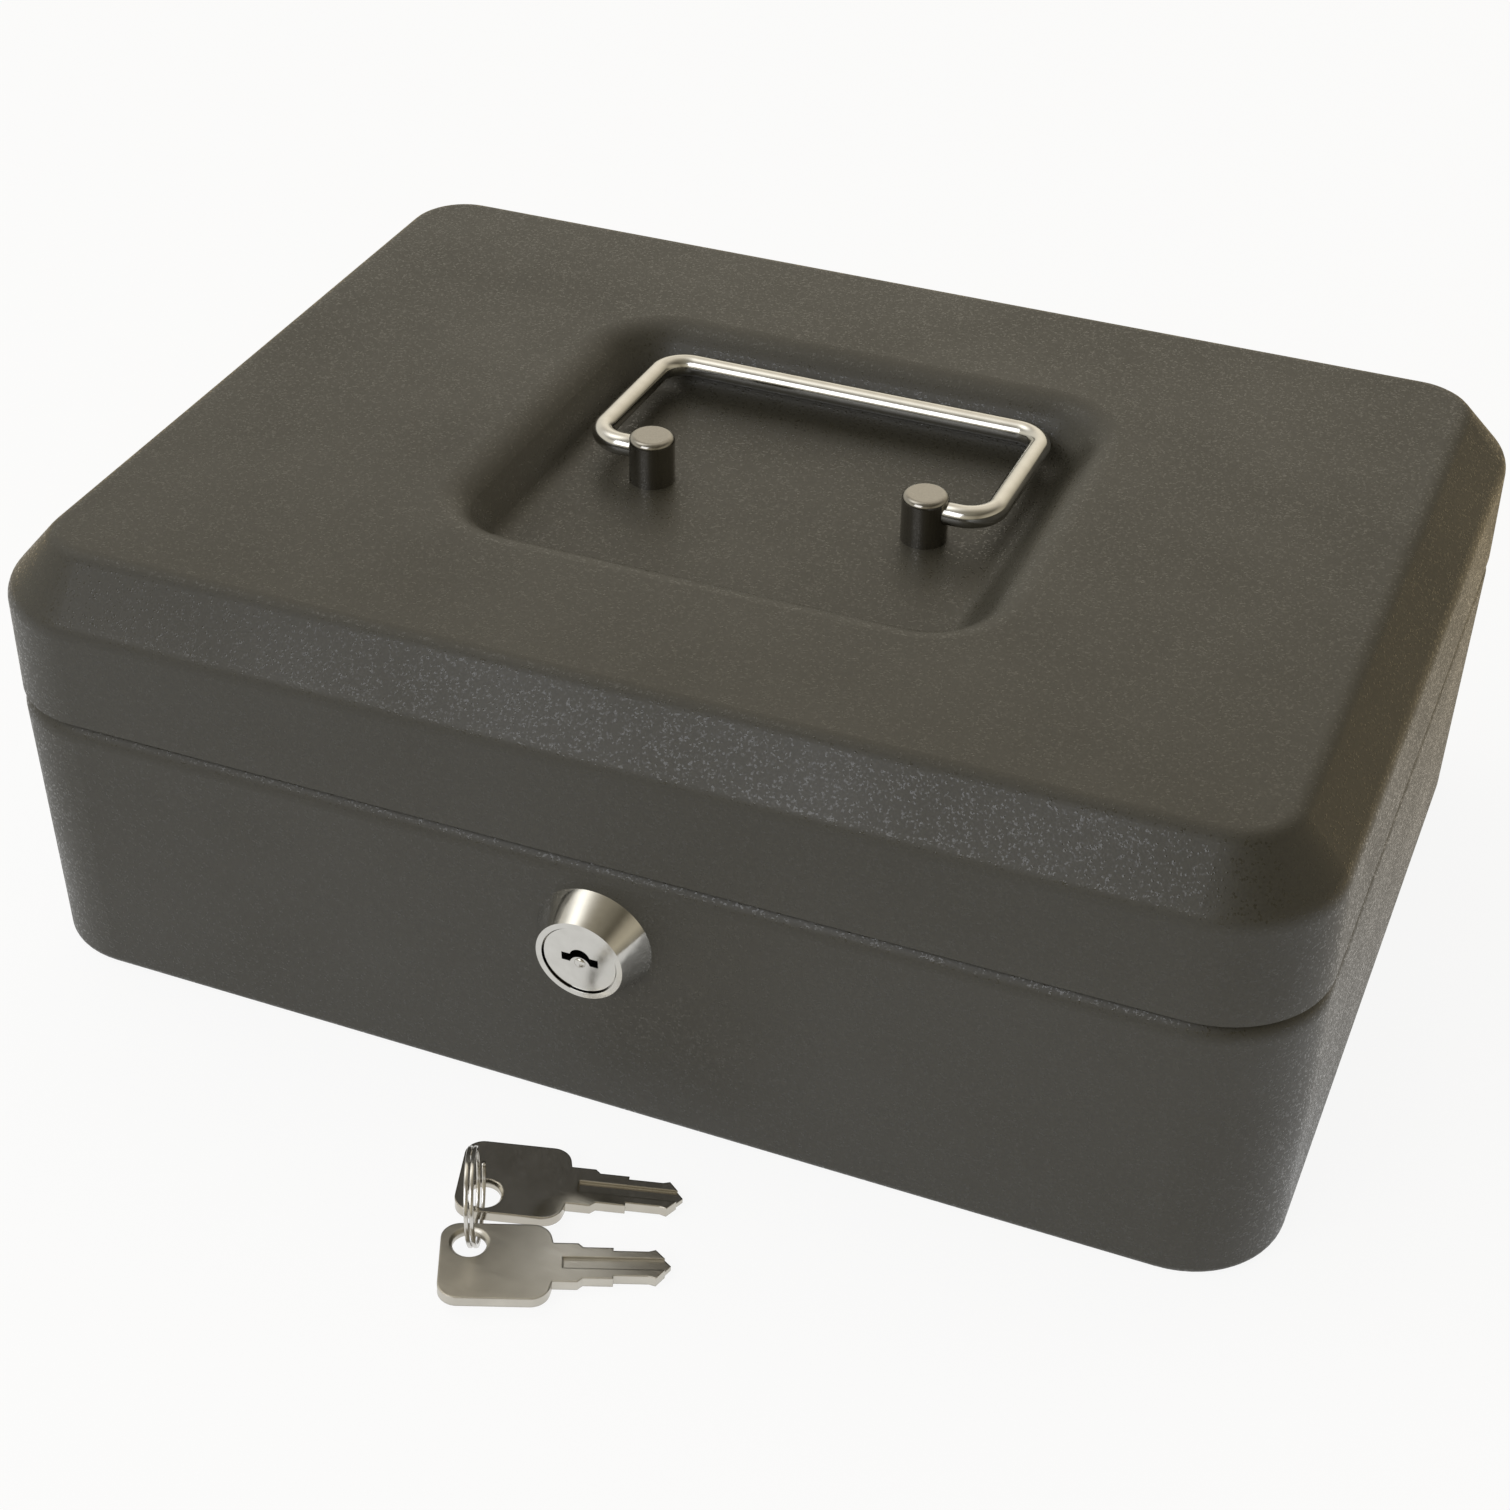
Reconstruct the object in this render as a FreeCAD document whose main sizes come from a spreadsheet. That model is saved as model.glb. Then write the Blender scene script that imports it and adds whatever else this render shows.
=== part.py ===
"""A portable steel cash box: drawn base, bevelled lid with a sunk wire handle, cam lock, coin tray and keys.

Millimetres. The origin is the middle of the underside, +X to the right, +Y to the back and +Z up. The lock is
on the front wall, at -Y, and the hinges are at the back.
"""
import FreeCAD, Part
import Sketcher
import math
import os
import re

Vector = FreeCAD.Vector
doc = FreeCAD.newDocument("cash_box")

# Driving dimensions
SIZES = {
    # Outside of the closed box
    "box_width": 250,
    "box_depth": 180,
    "box_height": 90,
    "corner_radius": 20,
    "sheet_gauge": 1,
    # Base: drafted walls, a rounded shoulder under the lid's edge and a flange that stands inside the lid
    "base_draft_run": 1.7,
    "base_edge_radius": 1.8,
    "shoulder_radius": 4,
    "flange_inset": 4.6,
    "flange_height": 8.2,
    # Lid: upright skirt with a folded hem, then a sloping edge up to the flat top
    "lid_height": 31.5,
    "seam_gap": 0.2,
    "slope_rise": 10.8,
    "slope_run": 9.5,
    "slope_low_bend": 5,
    "slope_top_bend": 4,
    "hem_gauge": 2.2,
    "hem_height": 4.4,
    "rear_trim": 4.5,
    "rear_trim_reach": 5,
    "rear_trim_ramp": 4,
    # Handle dish pressed into the lid
    "dish_length": 106,
    "dish_width": 88,
    "dish_depth": 10,
    "dish_run": 8,
    "dish_corner": 14,
    "dish_rim_bend": 8,
    "dish_floor_bend": 5,
    # Handle: a wire bail in two posts
    "post_side_gap": 25,
    "post_diameter": 9,
    "post_length": 9.7,
    "post_top_round": 1.2,
    "pivot_above_dish": 6.3,
    "wire_diameter": 4.4,
    "wire_bend": 6,
    "bail_side_gap": 12.5,
    "bail_back_gap": 7,
    "stub_depth": 7,
    "bail_rest_gap": 0.3,
    "wire_clearance": 0.06,
    "post_screw_diameter": 4,
    "post_screw_grip": 3,
    "screw_head_diameter": 7.6,
    "screw_head_height": 2.4,
    "screw_slack": 0.1,
    "post_washer_diameter": 9,
    "post_washer_gauge": 0.8,
    # Rear hinges
    "hinge_from_side": 55,
    "hinge_length": 40,
    "hinge_end_knuckle": 10,
    "knuckle_radius": 2.1,
    "hinge_pin_radius": 1.25,
    "pin_clearance": 0.05,
    "pin_head_radius": 1.9,
    "pin_head_length": 0.7,
    "leaf_gauge": 0.8,
    "lid_leaf_top_gap": 4.5,
    "hinge_gap": 0.3,
    # Lock
    "lock_shoulder_gap": 3.3,
    "bezel_back_diameter": 22.3,
    "bezel_front_diameter": 16.6,
    "bezel_length": 6.2,
    "barrel_diameter": 16,
    "barrel_length": 11,
    "barrel_slack": 0.2,
    "plug_diameter": 13,
    "plug_clearance": 0.05,
    "plug_rim_diameter": 13.8,
    "plug_rim_length": 1.2,
    "plug_recess": 0.4,
    "rim_gap": 0.3,
    "tail_width": 6.4,
    "tail_slack": 0.05,
    "keyway_width": 7,
    "keyway_height": 1.7,
    "keyway_arch": 1.4,
    "keyway_arch_span": 3.8,
    "keyway_depth": 8,
    "lock_washer_gauge": 0.8,
    "nut_across_flats": 20,
    "nut_height": 4,
    "cam_reach": 20,
    "cam_width": 10,
    "cam_corner": 2.5,
    "cam_gauge": 1.6,
    "cam_gap": 0.2,
    "cam_screw_diameter": 4,
    "cam_screw_grip": 6,
    "cam_screw_head_diameter": 8.4,
    "cam_screw_head_height": 2.2,
    # Strike that hangs from the lid
    "strike_gauge": 1.5,
    "strike_shelf_gap": 1.5,
    "strike_weld_gap": 3.2,
    "strike_arm_width": 5,
    "strike_arm_height": 4.4,
    "strike_arm_overlap": 11,
    "strike_gap": 0.6,
    "strike_side_gap": 2,
    # Coin tray
    "tray_depth": 29.8,
    "tray_side_slack": 0.6,
    "tray_seat_gap": 0.2,
    "tray_wall": 1.8,
    "tray_rim_gauge": 1.6,
    "tray_well_depth": 8,
    "tray_edge_bevel": 3,
    "cell_corner": 4,
    "cell_floor_bevel": 2,
    "note_cell_depth": 76,
    "notch_half_width": 36,
    "notch_depth": 18,
    # Keys on their split ring
    "key_gauge": 2,
    "key_bow_length": 18.6,
    "key_bow_width": 17.4,
    "key_bow_corner": 3.5,
    "key_hole_diameter": 6,
    "key_hole_bevel": 0.5,
    "key_hole_from_end": 5,
    "key_hole_off_line": 4.2,
    "key_shoulder_run": 0.9,
    "key_collar_length": 5.2,
    "key_collar_width": 9,
    "key_blade_length": 12.2,
    "key_blade_width": 7.2,
    "key_step_width": 5.8,
    "key_head_width": 6.6,
    "key_barb_run": 1.2,
    "key_head_length": 3.8,
    "key_channel_width": 2.6,
    "key_channel_depth": 0.5,
    "ring_radius": 8.4,
    "ring_wire_width": 0.75,
    "ring_turn_pitch": 0.95,
    "ring_turns": 2,
    "ring_front_shift": 0.6,
    "ring_rear_shift": 1,
    "front_key_x": -5.1,
    "front_key_ahead": 41.6,
    "front_key_heading": 24,
    "rear_key_x": -8.1,
    "rear_key_ahead": 30.1,
    "rear_key_heading": 17.5,
    "floor_gap": 0.05,
}

sheet = doc.addObject("Spreadsheet::Sheet", "Sizes")
for row, (alias, size) in enumerate(SIZES.items(), start=1):
    sheet.set("A%d" % row, alias)
    sheet.set("B%d" % row, str(size))
    sheet.setAlias("B%d" % row, alias)
doc.recompute()

# Lengths that several pieces share, each a rule on the sizes above
SHARED = {
    "half_width": "(box_width / 2)",
    "half_depth": "(box_depth / 2)",
    "seam_height": "(box_height - lid_height)",
    "ledge_height": "(box_height - lid_height - seam_gap)",
    "flange_top": "(ledge_height + flange_height)",
    "slope_start": "(box_height - slope_rise)",
    "dish_floor": "(box_height - dish_depth)",
    "pivot_height": "(box_height - dish_depth + pivot_above_dish)",
    "post_x": "(dish_length / 2 - post_side_gap)",
    "bail_half_span": "(dish_length / 2 - bail_side_gap)",
    "bail_reach": "(dish_width / 2 - bail_back_gap)",
    "hinge_y": "(box_depth / 2 - flange_inset + hinge_gap + knuckle_radius)",
    "hinge_z": "(ledge_height + hinge_gap + knuckle_radius)",
    "lock_height": "(ledge_height - shoulder_radius - nut_across_flats / 2 - lock_shoulder_gap)",
    "lock_y": "-(box_depth / 2 - (ledge_height - lock_height) * base_draft_run / ledge_height)",
    "cam_front": "-(barrel_length + cam_gap)",
    "cam_back": "-(barrel_length + cam_gap + cam_gauge)",
    "strike_y": "(box_depth / 2 - barrel_length - cam_gap - cam_gauge)",
    "strike_leg_x": "(cam_reach + strike_side_gap)",
    "tray_x": "(box_width / 2 - flange_inset - sheet_gauge - tray_side_slack)",
    "tray_y": "(box_depth / 2 - flange_inset - sheet_gauge - tray_side_slack)",
    "tray_corner": "(corner_radius - flange_inset - sheet_gauge - tray_side_slack)",
    "tray_top": "(ledge_height + flange_height + tray_seat_gap + tray_rim_gauge)",
    "tray_floor_height": "(tray_top - tray_depth)",
    "front_key_y": "-(half_depth + front_key_ahead)",
    "rear_key_y": "-(half_depth + rear_key_ahead)",
}
WORD = re.compile(r"[a-z][a-z_]+")


def written_out(rule):
    """A rule with each shared length replaced by its own rule, until only sizes are left."""
    while any(word in SHARED for word in WORD.findall(rule)):
        rule = WORD.sub(lambda word: SHARED.get(word.group(), word.group()), rule)
    return rule


def bound(rule):
    """A rule as an expression that reads the sheet."""
    return WORD.sub(lambda word: "Sizes." + word.group() if word.group() in SIZES else word.group(),
                    written_out(rule))


def number(rule):
    """The value of a rule now, in millimetres or degrees."""
    result = sheet.evalExpression(bound(rule))
    return float(getattr(result, "Value", result))


# Sketch and feature helpers
def new_body(name):
    body = doc.addObject("PartDesign::Body", name)
    body.Label = name
    return body


def plane_of(body, role):
    return next(item for item in body.Origin.OriginFeatures if item.Role == role)


def new_sketch(body, name, role="XY_Plane", out="0"):
    """A sketch on one of the body's planes, moved out along the plane's normal."""
    sketch = body.newObject("Sketcher::SketchObject", name)
    sketch.AttachmentSupport = (plane_of(body, role), [""])
    sketch.MapMode = "FlatFace"
    sketch.setExpression("AttachmentOffset.Base.z", bound(out))
    return sketch


def pin(sketch, curve, end, x, y):
    """Hold one end of a curve at the place that two rules give."""
    for kind, axis, rule in (("DistanceX", -2, x), ("DistanceY", -1, y)):
        if rule == "0":
            sketch.addConstraint(Sketcher.Constraint("PointOnObject", curve, end, axis))
            continue
        place = number(rule)
        if place > 0:
            index = sketch.addConstraint(Sketcher.Constraint(kind, -1, 1, curve, end, place))
        else:
            index = sketch.addConstraint(Sketcher.Constraint(kind, curve, end, -1, 1, -place))
            rule = "-(%s)" % rule
        sketch.setExpression("Constraints[%d]" % index, bound(rule))


def circle(sketch, x, y, diameter):
    ring = Part.Circle(Vector(number(x), number(y), 0), Vector(0, 0, 1), number(diameter) / 2)
    curve = sketch.addGeometry(ring, False)
    pin(sketch, curve, 3, x, y)
    index = sketch.addConstraint(Sketcher.Constraint("Diameter", curve, number(diameter)))
    sketch.setExpression("Constraints[%d]" % index, bound(diameter))


def polygon(sketch, corners):
    """A closed outline of straight lines through corners, each a pair of rules."""
    places = [Vector(number(x), number(y), 0) for x, y in corners]
    count = len(corners)
    first = sketch.GeometryCount
    for k in range(count):
        sketch.addGeometry(Part.LineSegment(places[k], places[(k + 1) % count]), False)
    for k in range(count):
        sketch.addConstraint(Sketcher.Constraint("Coincident", first + k, 2, first + (k + 1) % count, 1))
        pin(sketch, first + k, 1, *corners[k])


def arched_slot(sketch, half_width, half_height, half_span, rise):
    """A level slot whose middle rises in an arch: its top and bottom lines have an arc of one rise."""
    level = {"top": half_height, "bottom": "-" + half_height}
    radius = "(%s * %s + %s * %s) / (2 * %s)" % (half_span, half_span, rise, rise, rise)
    lines = {}
    for edge, y in level.items():
        for side in ("-", ""):
            ends = ((side + half_width, y), (side + half_span, y))
            places = [Vector(number(x), number(z), 0) for x, z in ends]
            line = sketch.addGeometry(Part.LineSegment(*places), False)
            pin(sketch, line, 1, *ends[0])
            pin(sketch, line, 2, *ends[1])
            lines[edge, side] = line
        crown = Vector(0, number(y) + number(rise) - number(radius), 0)
        lean = math.asin(number(half_span) / number(radius))
        if number(rise) > number(radius):
            lean = math.pi - lean
        arch = Part.ArcOfCircle(Part.Circle(crown, Vector(0, 0, 1), number(radius)), math.pi / 2 - lean,
                                math.pi / 2 + lean)
        curve = sketch.addGeometry(arch, False)
        sketch.addConstraint(Sketcher.Constraint("Coincident", lines[edge, ""], 2, curve, 1))
        sketch.addConstraint(Sketcher.Constraint("Coincident", lines[edge, "-"], 2, curve, 2))
        index = sketch.addConstraint(Sketcher.Constraint("Radius", curve, number(radius)))
        sketch.setExpression("Constraints[%d]" % index, bound(radius))
    for side in ("-", ""):
        upper, lower = lines["top", side], lines["bottom", side]
        places = [sketch.Geometry[upper].StartPoint, sketch.Geometry[lower].StartPoint]
        end = sketch.addGeometry(Part.LineSegment(*places), False)
        sketch.addConstraint(Sketcher.Constraint("Coincident", upper, 1, end, 1))
        sketch.addConstraint(Sketcher.Constraint("Coincident", lower, 1, end, 2))


def towards(start, end):
    """The unit step from one place to the next along X or Y."""
    step = end - start
    if abs(step.x) > abs(step.y):
        return Vector(math.copysign(1, step.x), 0, 0)
    return Vector(0, math.copysign(1, step.y), 0)


def rounded(sketch, corners, radius, closed=True):
    """Lines along X and Y through corners, each a pair of rules, with an arc at every bend.

    The radius is one rule for every bend, or a list with a rule for each.
    """
    places = [Vector(number(x), number(y), 0) for x, y in corners]
    count = len(corners)
    radii = radius if isinstance(radius, list) else [radius] * count
    sizes = [number(rule) for rule in radii]

    def beside(k, step):
        x, y = corners[k]
        return ("%s + (%d) * (%s)" % (x, step.x, radii[k]) if step.x else x,
                "%s + (%d) * (%s)" % (y, step.y, radii[k]) if step.y else y)

    runs = []
    for k in range(count if closed else count - 1):
        after = (k + 1) % count
        step = towards(places[k], places[after])
        start_bends = closed or k > 0
        end_bends = closed or after < count - 1
        start = places[k] + step * sizes[k] if start_bends else places[k]
        end = places[after] - step * sizes[after] if end_bends else places[after]
        line = sketch.addGeometry(Part.LineSegment(start, end), False)
        pin(sketch, line, 1, *(beside(k, step) if start_bends else corners[k]))
        pin(sketch, line, 2, *(beside(after, step * -1) if end_bends else corners[after]))
        runs.append((line, step, after, end_bends))
    for (line, step, corner, bends), (next_line, next_step, _, _) in zip(runs, runs[1:] + runs[:1]):
        if not bends:
            continue
        size = sizes[corner]
        middle = places[corner] - step * size + next_step * size
        left_turn = step.cross(next_step).z > 0
        near, far = (next_step * -1, step) if left_turn else (step, next_step * -1)
        angle = math.atan2(near.y, near.x)
        bend = Part.ArcOfCircle(Part.Circle(middle, Vector(0, 0, 1), size), angle, angle + math.pi / 2)
        curve = sketch.addGeometry(bend, False)
        entry, leave = (1, 2) if left_turn else (2, 1)
        sketch.addConstraint(Sketcher.Constraint("Coincident", line, 2, curve, entry))
        sketch.addConstraint(Sketcher.Constraint("Coincident", next_line, 1, curve, leave))
        index = sketch.addConstraint(Sketcher.Constraint("Radius", curve, size))
        sketch.setExpression("Constraints[%d]" % index, bound(radii[corner]))


def rounded_rectangle(sketch, left, front, right, back, radius):
    rounded(sketch, [(left, front), (right, front), (right, back), (left, back)], radius)


def plan(sketch, inset, radius):
    """The box's plan outline, set in from its walls, with rounded corners."""
    x = "(half_width - (%s))" % inset
    y = "(half_depth - (%s))" % inset
    rounded_rectangle(sketch, "-" + x, "-" + y, x, y, radius)


def pad(body, name, sketch, length, reverse=False, middle=False, taper=None):
    feature = body.newObject("PartDesign::Pad", name)
    feature.Profile = sketch
    feature.setExpression("Length", bound(length))
    feature.Reversed = reverse
    if middle:
        feature.SideType = "Symmetric"
    if taper:
        feature.setExpression("TaperAngle", bound(taper))
    doc.recompute()
    return feature


def pocket(body, name, sketch, length=None, reverse=False, middle=False, taper=None):
    """Cut a sketch into the body, right through where no length is given. It has to take something off."""
    before = body.Shape.Volume
    feature = body.newObject("PartDesign::Pocket", name)
    feature.Profile = sketch
    feature.Reversed = reverse
    if middle:
        feature.SideType = "Symmetric"
    if length:
        feature.setExpression("Length", bound(length))
    else:
        feature.Type = "ThroughAll"
    if taper:
        feature.setExpression("TaperAngle", bound(taper))
    doc.recompute()
    if feature.Shape.Volume >= before:
        raise RuntimeError("%s cut nothing" % name)
    return feature


def revolve(body, name, sketch):
    """Turn a sketch on the XZ plane about the body's Z axis."""
    feature = body.newObject("PartDesign::Revolution", name)
    feature.Profile = sketch
    feature.ReferenceAxis = (plane_of(body, "Z_Axis"), [""])
    feature.Angle = 360
    doc.recompute()
    return feature


def level_edges(feature, height):
    """The names of a feature's edges that lie all at one height."""
    level = number(height)
    return ["Edge%d" % k for k, edge in enumerate(feature.Shape.Edges, start=1)
            if abs(edge.BoundBox.ZMin - level) < 1e-4 and abs(edge.BoundBox.ZMax - level) < 1e-4]


def upright_edges(feature, inside):
    """The names of a feature's straight upright edges whose place passes a test."""
    return ["Edge%d" % k for k, edge in enumerate(feature.Shape.Edges, start=1)
            if edge.BoundBox.XLength < 1e-4 and edge.BoundBox.YLength < 1e-4 and inside(edge.CenterOfMass)]


def fillet(body, name, edges, radius):
    base = body.Tip
    feature = body.newObject("PartDesign::Fillet", name)
    feature.Base = (base, edges)
    feature.setExpression("Radius", bound(radius))
    doc.recompute()
    return feature


def chamfer(body, name, edges, size):
    base = body.Tip
    feature = body.newObject("PartDesign::Chamfer", name)
    feature.Base = (base, edges)
    feature.setExpression("Size", bound(size))
    doc.recompute()
    return feature


def shell(body, name, open_face_height):
    """Hollow the body to the sheet's gauge, open at the face that lies at one height."""
    level = number(open_face_height)
    base = body.Tip
    faces = ["Face%d" % k for k, face in enumerate(base.Shape.Faces, start=1)
             if abs(face.BoundBox.ZMin - level) < 1e-4 and abs(face.BoundBox.ZMax - level) < 1e-4]
    feature = body.newObject("PartDesign::Thickness", name)
    feature.Base = (base, faces)
    feature.setExpression("Value", bound("sheet_gauge"))
    feature.Reversed = True
    feature.Join = "Intersection"
    doc.recompute()
    return feature


def place(piece, x="0", y="0", z="0", tilt=None):
    """Put a piece in the box's frame, tilted about its own X axis."""
    piece.setExpression("Placement.Base.x", bound(x))
    piece.setExpression("Placement.Base.y", bound(y))
    piece.setExpression("Placement.Base.z", bound(z))
    if tilt:
        piece.Placement.Rotation = FreeCAD.Rotation(Vector(1, 0, 0), 1)
        piece.setExpression("Placement.Rotation.Angle", bound(tilt))


pieces = {}


def finish(piece, name):
    """Keep a piece as the node of that name."""
    piece.Label = name
    pieces[name] = piece


# Base shell
def make_base_shell():
    body = new_body("base_shell")
    walls = new_sketch(body, "base_plan", out="ledge_height")
    plan(walls, "0", "corner_radius")
    pad(body, "base_walls", walls, "ledge_height", reverse=True, taper="-atan(base_draft_run / ledge_height)")
    fillet(body, "base_bottom_bend", level_edges(body.Tip, "0"), "base_edge_radius")
    fillet(body, "base_shoulder", level_edges(body.Tip, "ledge_height"), "shoulder_radius")
    flange = new_sketch(body, "flange_plan", out="ledge_height")
    plan(flange, "flange_inset", "corner_radius - flange_inset")
    pad(body, "flange", flange, "flange_height")
    shell(body, "base_sheet", "flange_top")
    hole = new_sketch(body, "lock_hole_outline", "XZ_Plane")
    circle(hole, "0", "lock_height", "barrel_diameter + 2 * barrel_slack")
    pocket(body, "lock_hole", hole, reverse=True)
    finish(body, "base_shell")


# Lid shell
def make_lid_shell():
    body = new_body("lid_shell")
    skirt = new_sketch(body, "skirt_plan", out="seam_height")
    plan(skirt, "0", "corner_radius")
    pad(body, "skirt", skirt, "slope_start - seam_height")
    slope = new_sketch(body, "slope_plan", out="slope_start")
    plan(slope, "0", "corner_radius")
    pad(body, "sloping_edge", slope, "slope_rise", taper="-atan(slope_run / slope_rise)")
    fillet(body, "slope_low_round", level_edges(body.Tip, "slope_start"), "slope_low_bend")
    fillet(body, "slope_top_round", level_edges(body.Tip, "box_height"), "slope_top_bend")
    dish = new_sketch(body, "dish_plan", out="box_height")
    rounded_rectangle(dish, "-dish_length / 2", "-dish_width / 2", "dish_length / 2", "dish_width / 2",
                      "dish_corner")
    pocket(body, "dish", dish, "dish_depth", taper="-atan(dish_run / dish_depth)")
    rim = [name for name in level_edges(body.Tip, "box_height") if inside_dish(body.Tip, name)]
    fillet(body, "dish_rim_round", rim, "dish_rim_bend")
    fillet(body, "dish_floor_round", level_edges(body.Tip, "dish_floor"), "dish_floor_bend")
    shell(body, "lid_sheet", "seam_height")
    hem = new_sketch(body, "hem_plan", out="seam_height")
    plan(hem, "sheet_gauge / 2", "corner_radius - sheet_gauge / 2")
    plan(hem, "hem_gauge", "corner_radius - hem_gauge")
    pad(body, "hem", hem, "hem_height")
    trim = new_sketch(body, "rear_trim_outline", "YZ_Plane")
    reach = "(half_depth - rear_trim_reach)"
    past = "(half_depth + rear_trim_reach)"
    under = "(seam_height - rear_trim)"
    polygon(trim, [(reach + " - 2 * rear_trim_ramp", under), (past, under),
                   (past, "seam_height + rear_trim"), (reach, "seam_height + rear_trim")])
    pocket(body, "rear_trim_cut", trim, middle=True)
    holes = new_sketch(body, "post_hole_outline", out="dish_floor")
    for side in ("-post_x", "post_x"):
        circle(holes, side, "0", "post_screw_diameter + 2 * screw_slack")
    pocket(body, "post_holes", holes, "2 * sheet_gauge")
    finish(body, "lid_shell")


def inside_dish(feature, edge_name):
    """True for an edge no further out than the dish's own outline."""
    box = feature.Shape.getElement(edge_name).BoundBox
    reach = max(abs(box.XMin), abs(box.XMax)) - number("dish_length / 2")
    return reach < 1e-3


# Handle bail and its posts
def make_handle():
    body = new_body("handle_bail")
    route = new_sketch(body, "bail_route")
    stub = "(post_x + post_diameter / 2 - stub_depth)"
    side = "bail_half_span"
    rounded(route, [("-" + stub, "0"), ("-" + side, "0"), ("-" + side, "bail_reach"),
                    (side, "bail_reach"), (side, "0"), (stub, "0")], "wire_bend", closed=False)
    section = new_sketch(body, "wire_section", "YZ_Plane", "-" + stub)
    circle(section, "0", "0", "wire_diameter")
    doc.recompute()
    wire = body.newObject("PartDesign::AdditivePipe", "bail_wire")
    wire.Profile = section
    wire.Spine = route
    doc.recompute()
    # The bar lies on the dish's back slope: reach * sin(slope + droop) is the pivot's distance from it, less
    # half the wire and the gap.
    slope = "atan(dish_depth / dish_run)"
    foot = "(dish_width / 2 - dish_run)"
    to_slope = "sin(%s) * %s + cos(%s) * pivot_above_dish" % (slope, foot, slope)
    stand_off = "(%s - wire_diameter / 2 - bail_rest_gap)" % to_slope
    place(body, z="pivot_height", tilt="%s - asin(%s / bail_reach)" % (slope, stand_off))
    finish(body, "handle_bail")


def make_post(name, side):
    """One post; side is 1 for the right one and -1 for the left one."""
    body = new_body(name)
    x = "post_x" if side > 0 else "-post_x"
    outline = new_sketch(body, name + "_outline", out="dish_floor")
    circle(outline, x, "0", "post_diameter")
    pad(body, name + "_stem", outline, "post_length")
    fillet(body, name + "_top", level_edges(body.Tip, "dish_floor + post_length"), "post_top_round")
    stub = "(post_x + post_diameter / 2 - stub_depth - bail_rest_gap)"
    bore = new_sketch(body, name + "_bore_outline", "YZ_Plane", stub if side > 0 else "-" + stub)
    circle(bore, "0", "pivot_height", "wire_diameter + 2 * wire_clearance")
    pocket(body, name + "_bore", bore, "post_diameter", reverse=side > 0)
    tap = new_sketch(body, name + "_tap_outline", out="dish_floor")
    circle(tap, x, "0", "post_screw_diameter")
    pocket(body, name + "_tap", tap, "post_screw_grip + screw_slack", reverse=True)
    finish(body, name)


def mirrored_pair(body, name):
    """A piece and its mirror image across the YZ plane, as one group of two solids."""
    other = doc.addObject("Part::Mirroring", name + "_other")
    other.Source = body
    other.Normal = Vector(1, 0, 0)
    other.Base = Vector(0, 0, 0)
    pair = doc.addObject("Part::Compound", name)
    pair.Links = [body, other]
    doc.recompute()
    finish(pair, name)


def make_post_fasteners():
    under = "(dish_floor - sheet_gauge)"
    washer = new_body("post_washer")
    outline = new_sketch(washer, "post_washer_outline", out=under)
    circle(outline, "post_x", "0", "post_washer_diameter")
    circle(outline, "post_x", "0", "post_screw_diameter + 2 * screw_slack")
    pad(washer, "post_washer_disc", outline, "post_washer_gauge", reverse=True)
    mirrored_pair(washer, "post_washers")
    screw = new_body("post_screw")
    head = new_sketch(screw, "post_screw_head_outline", out=under + " - post_washer_gauge")
    circle(head, "post_x", "0", "screw_head_diameter")
    pad(screw, "post_screw_head", head, "screw_head_height", reverse=True)
    shank = new_sketch(screw, "post_screw_shank_outline", out=under + " - post_washer_gauge")
    circle(shank, "post_x", "0", "post_screw_diameter - screw_slack")
    pad(screw, "post_screw_shank", shank, "post_washer_gauge + sheet_gauge + post_screw_grip")
    mirrored_pair(screw, "post_screws")


# Hinges, each drawn about its own pin and then put at its place
def hinge_plate(body, name, near, far, top):
    """The flat of a leaf: clear of the other leaf's knuckles, as long as the hinge."""
    outline = new_sketch(body, name + "_plate_outline", "YZ_Plane")
    clear = "(knuckle_radius + hinge_gap)"
    polygon(outline, [(near, clear), (far, clear), (far, top), (near, top)])
    pad(body, name + "_plate", outline, "hinge_length", middle=True)
    return clear


def knuckle(body, name, near, far, top, length, out=None):
    """A knuckle and the strip that joins it to its leaf; about the middle, or from a place outwards."""
    middle = out is None
    barrel = new_sketch(body, name + "_barrel_outline", "YZ_Plane", out or "0")
    circle(barrel, "0", "0", "2 * knuckle_radius")
    first = pad(body, name + "_barrel", barrel, length, middle=middle)
    strip = new_sketch(body, name + "_strip_outline", "YZ_Plane", out or "0")
    polygon(strip, [(near, "0"), (far, "0"), (far, top), (near, top)])
    second = pad(body, name + "_strip", strip, length, middle=middle)
    return [first, second]


def pin_bore(body, name):
    outline = new_sketch(body, name + "_bore_outline", "YZ_Plane")
    circle(outline, "0", "0", "2 * (hinge_pin_radius + pin_clearance)")
    pocket(body, name + "_bore", outline, middle=True)


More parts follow.
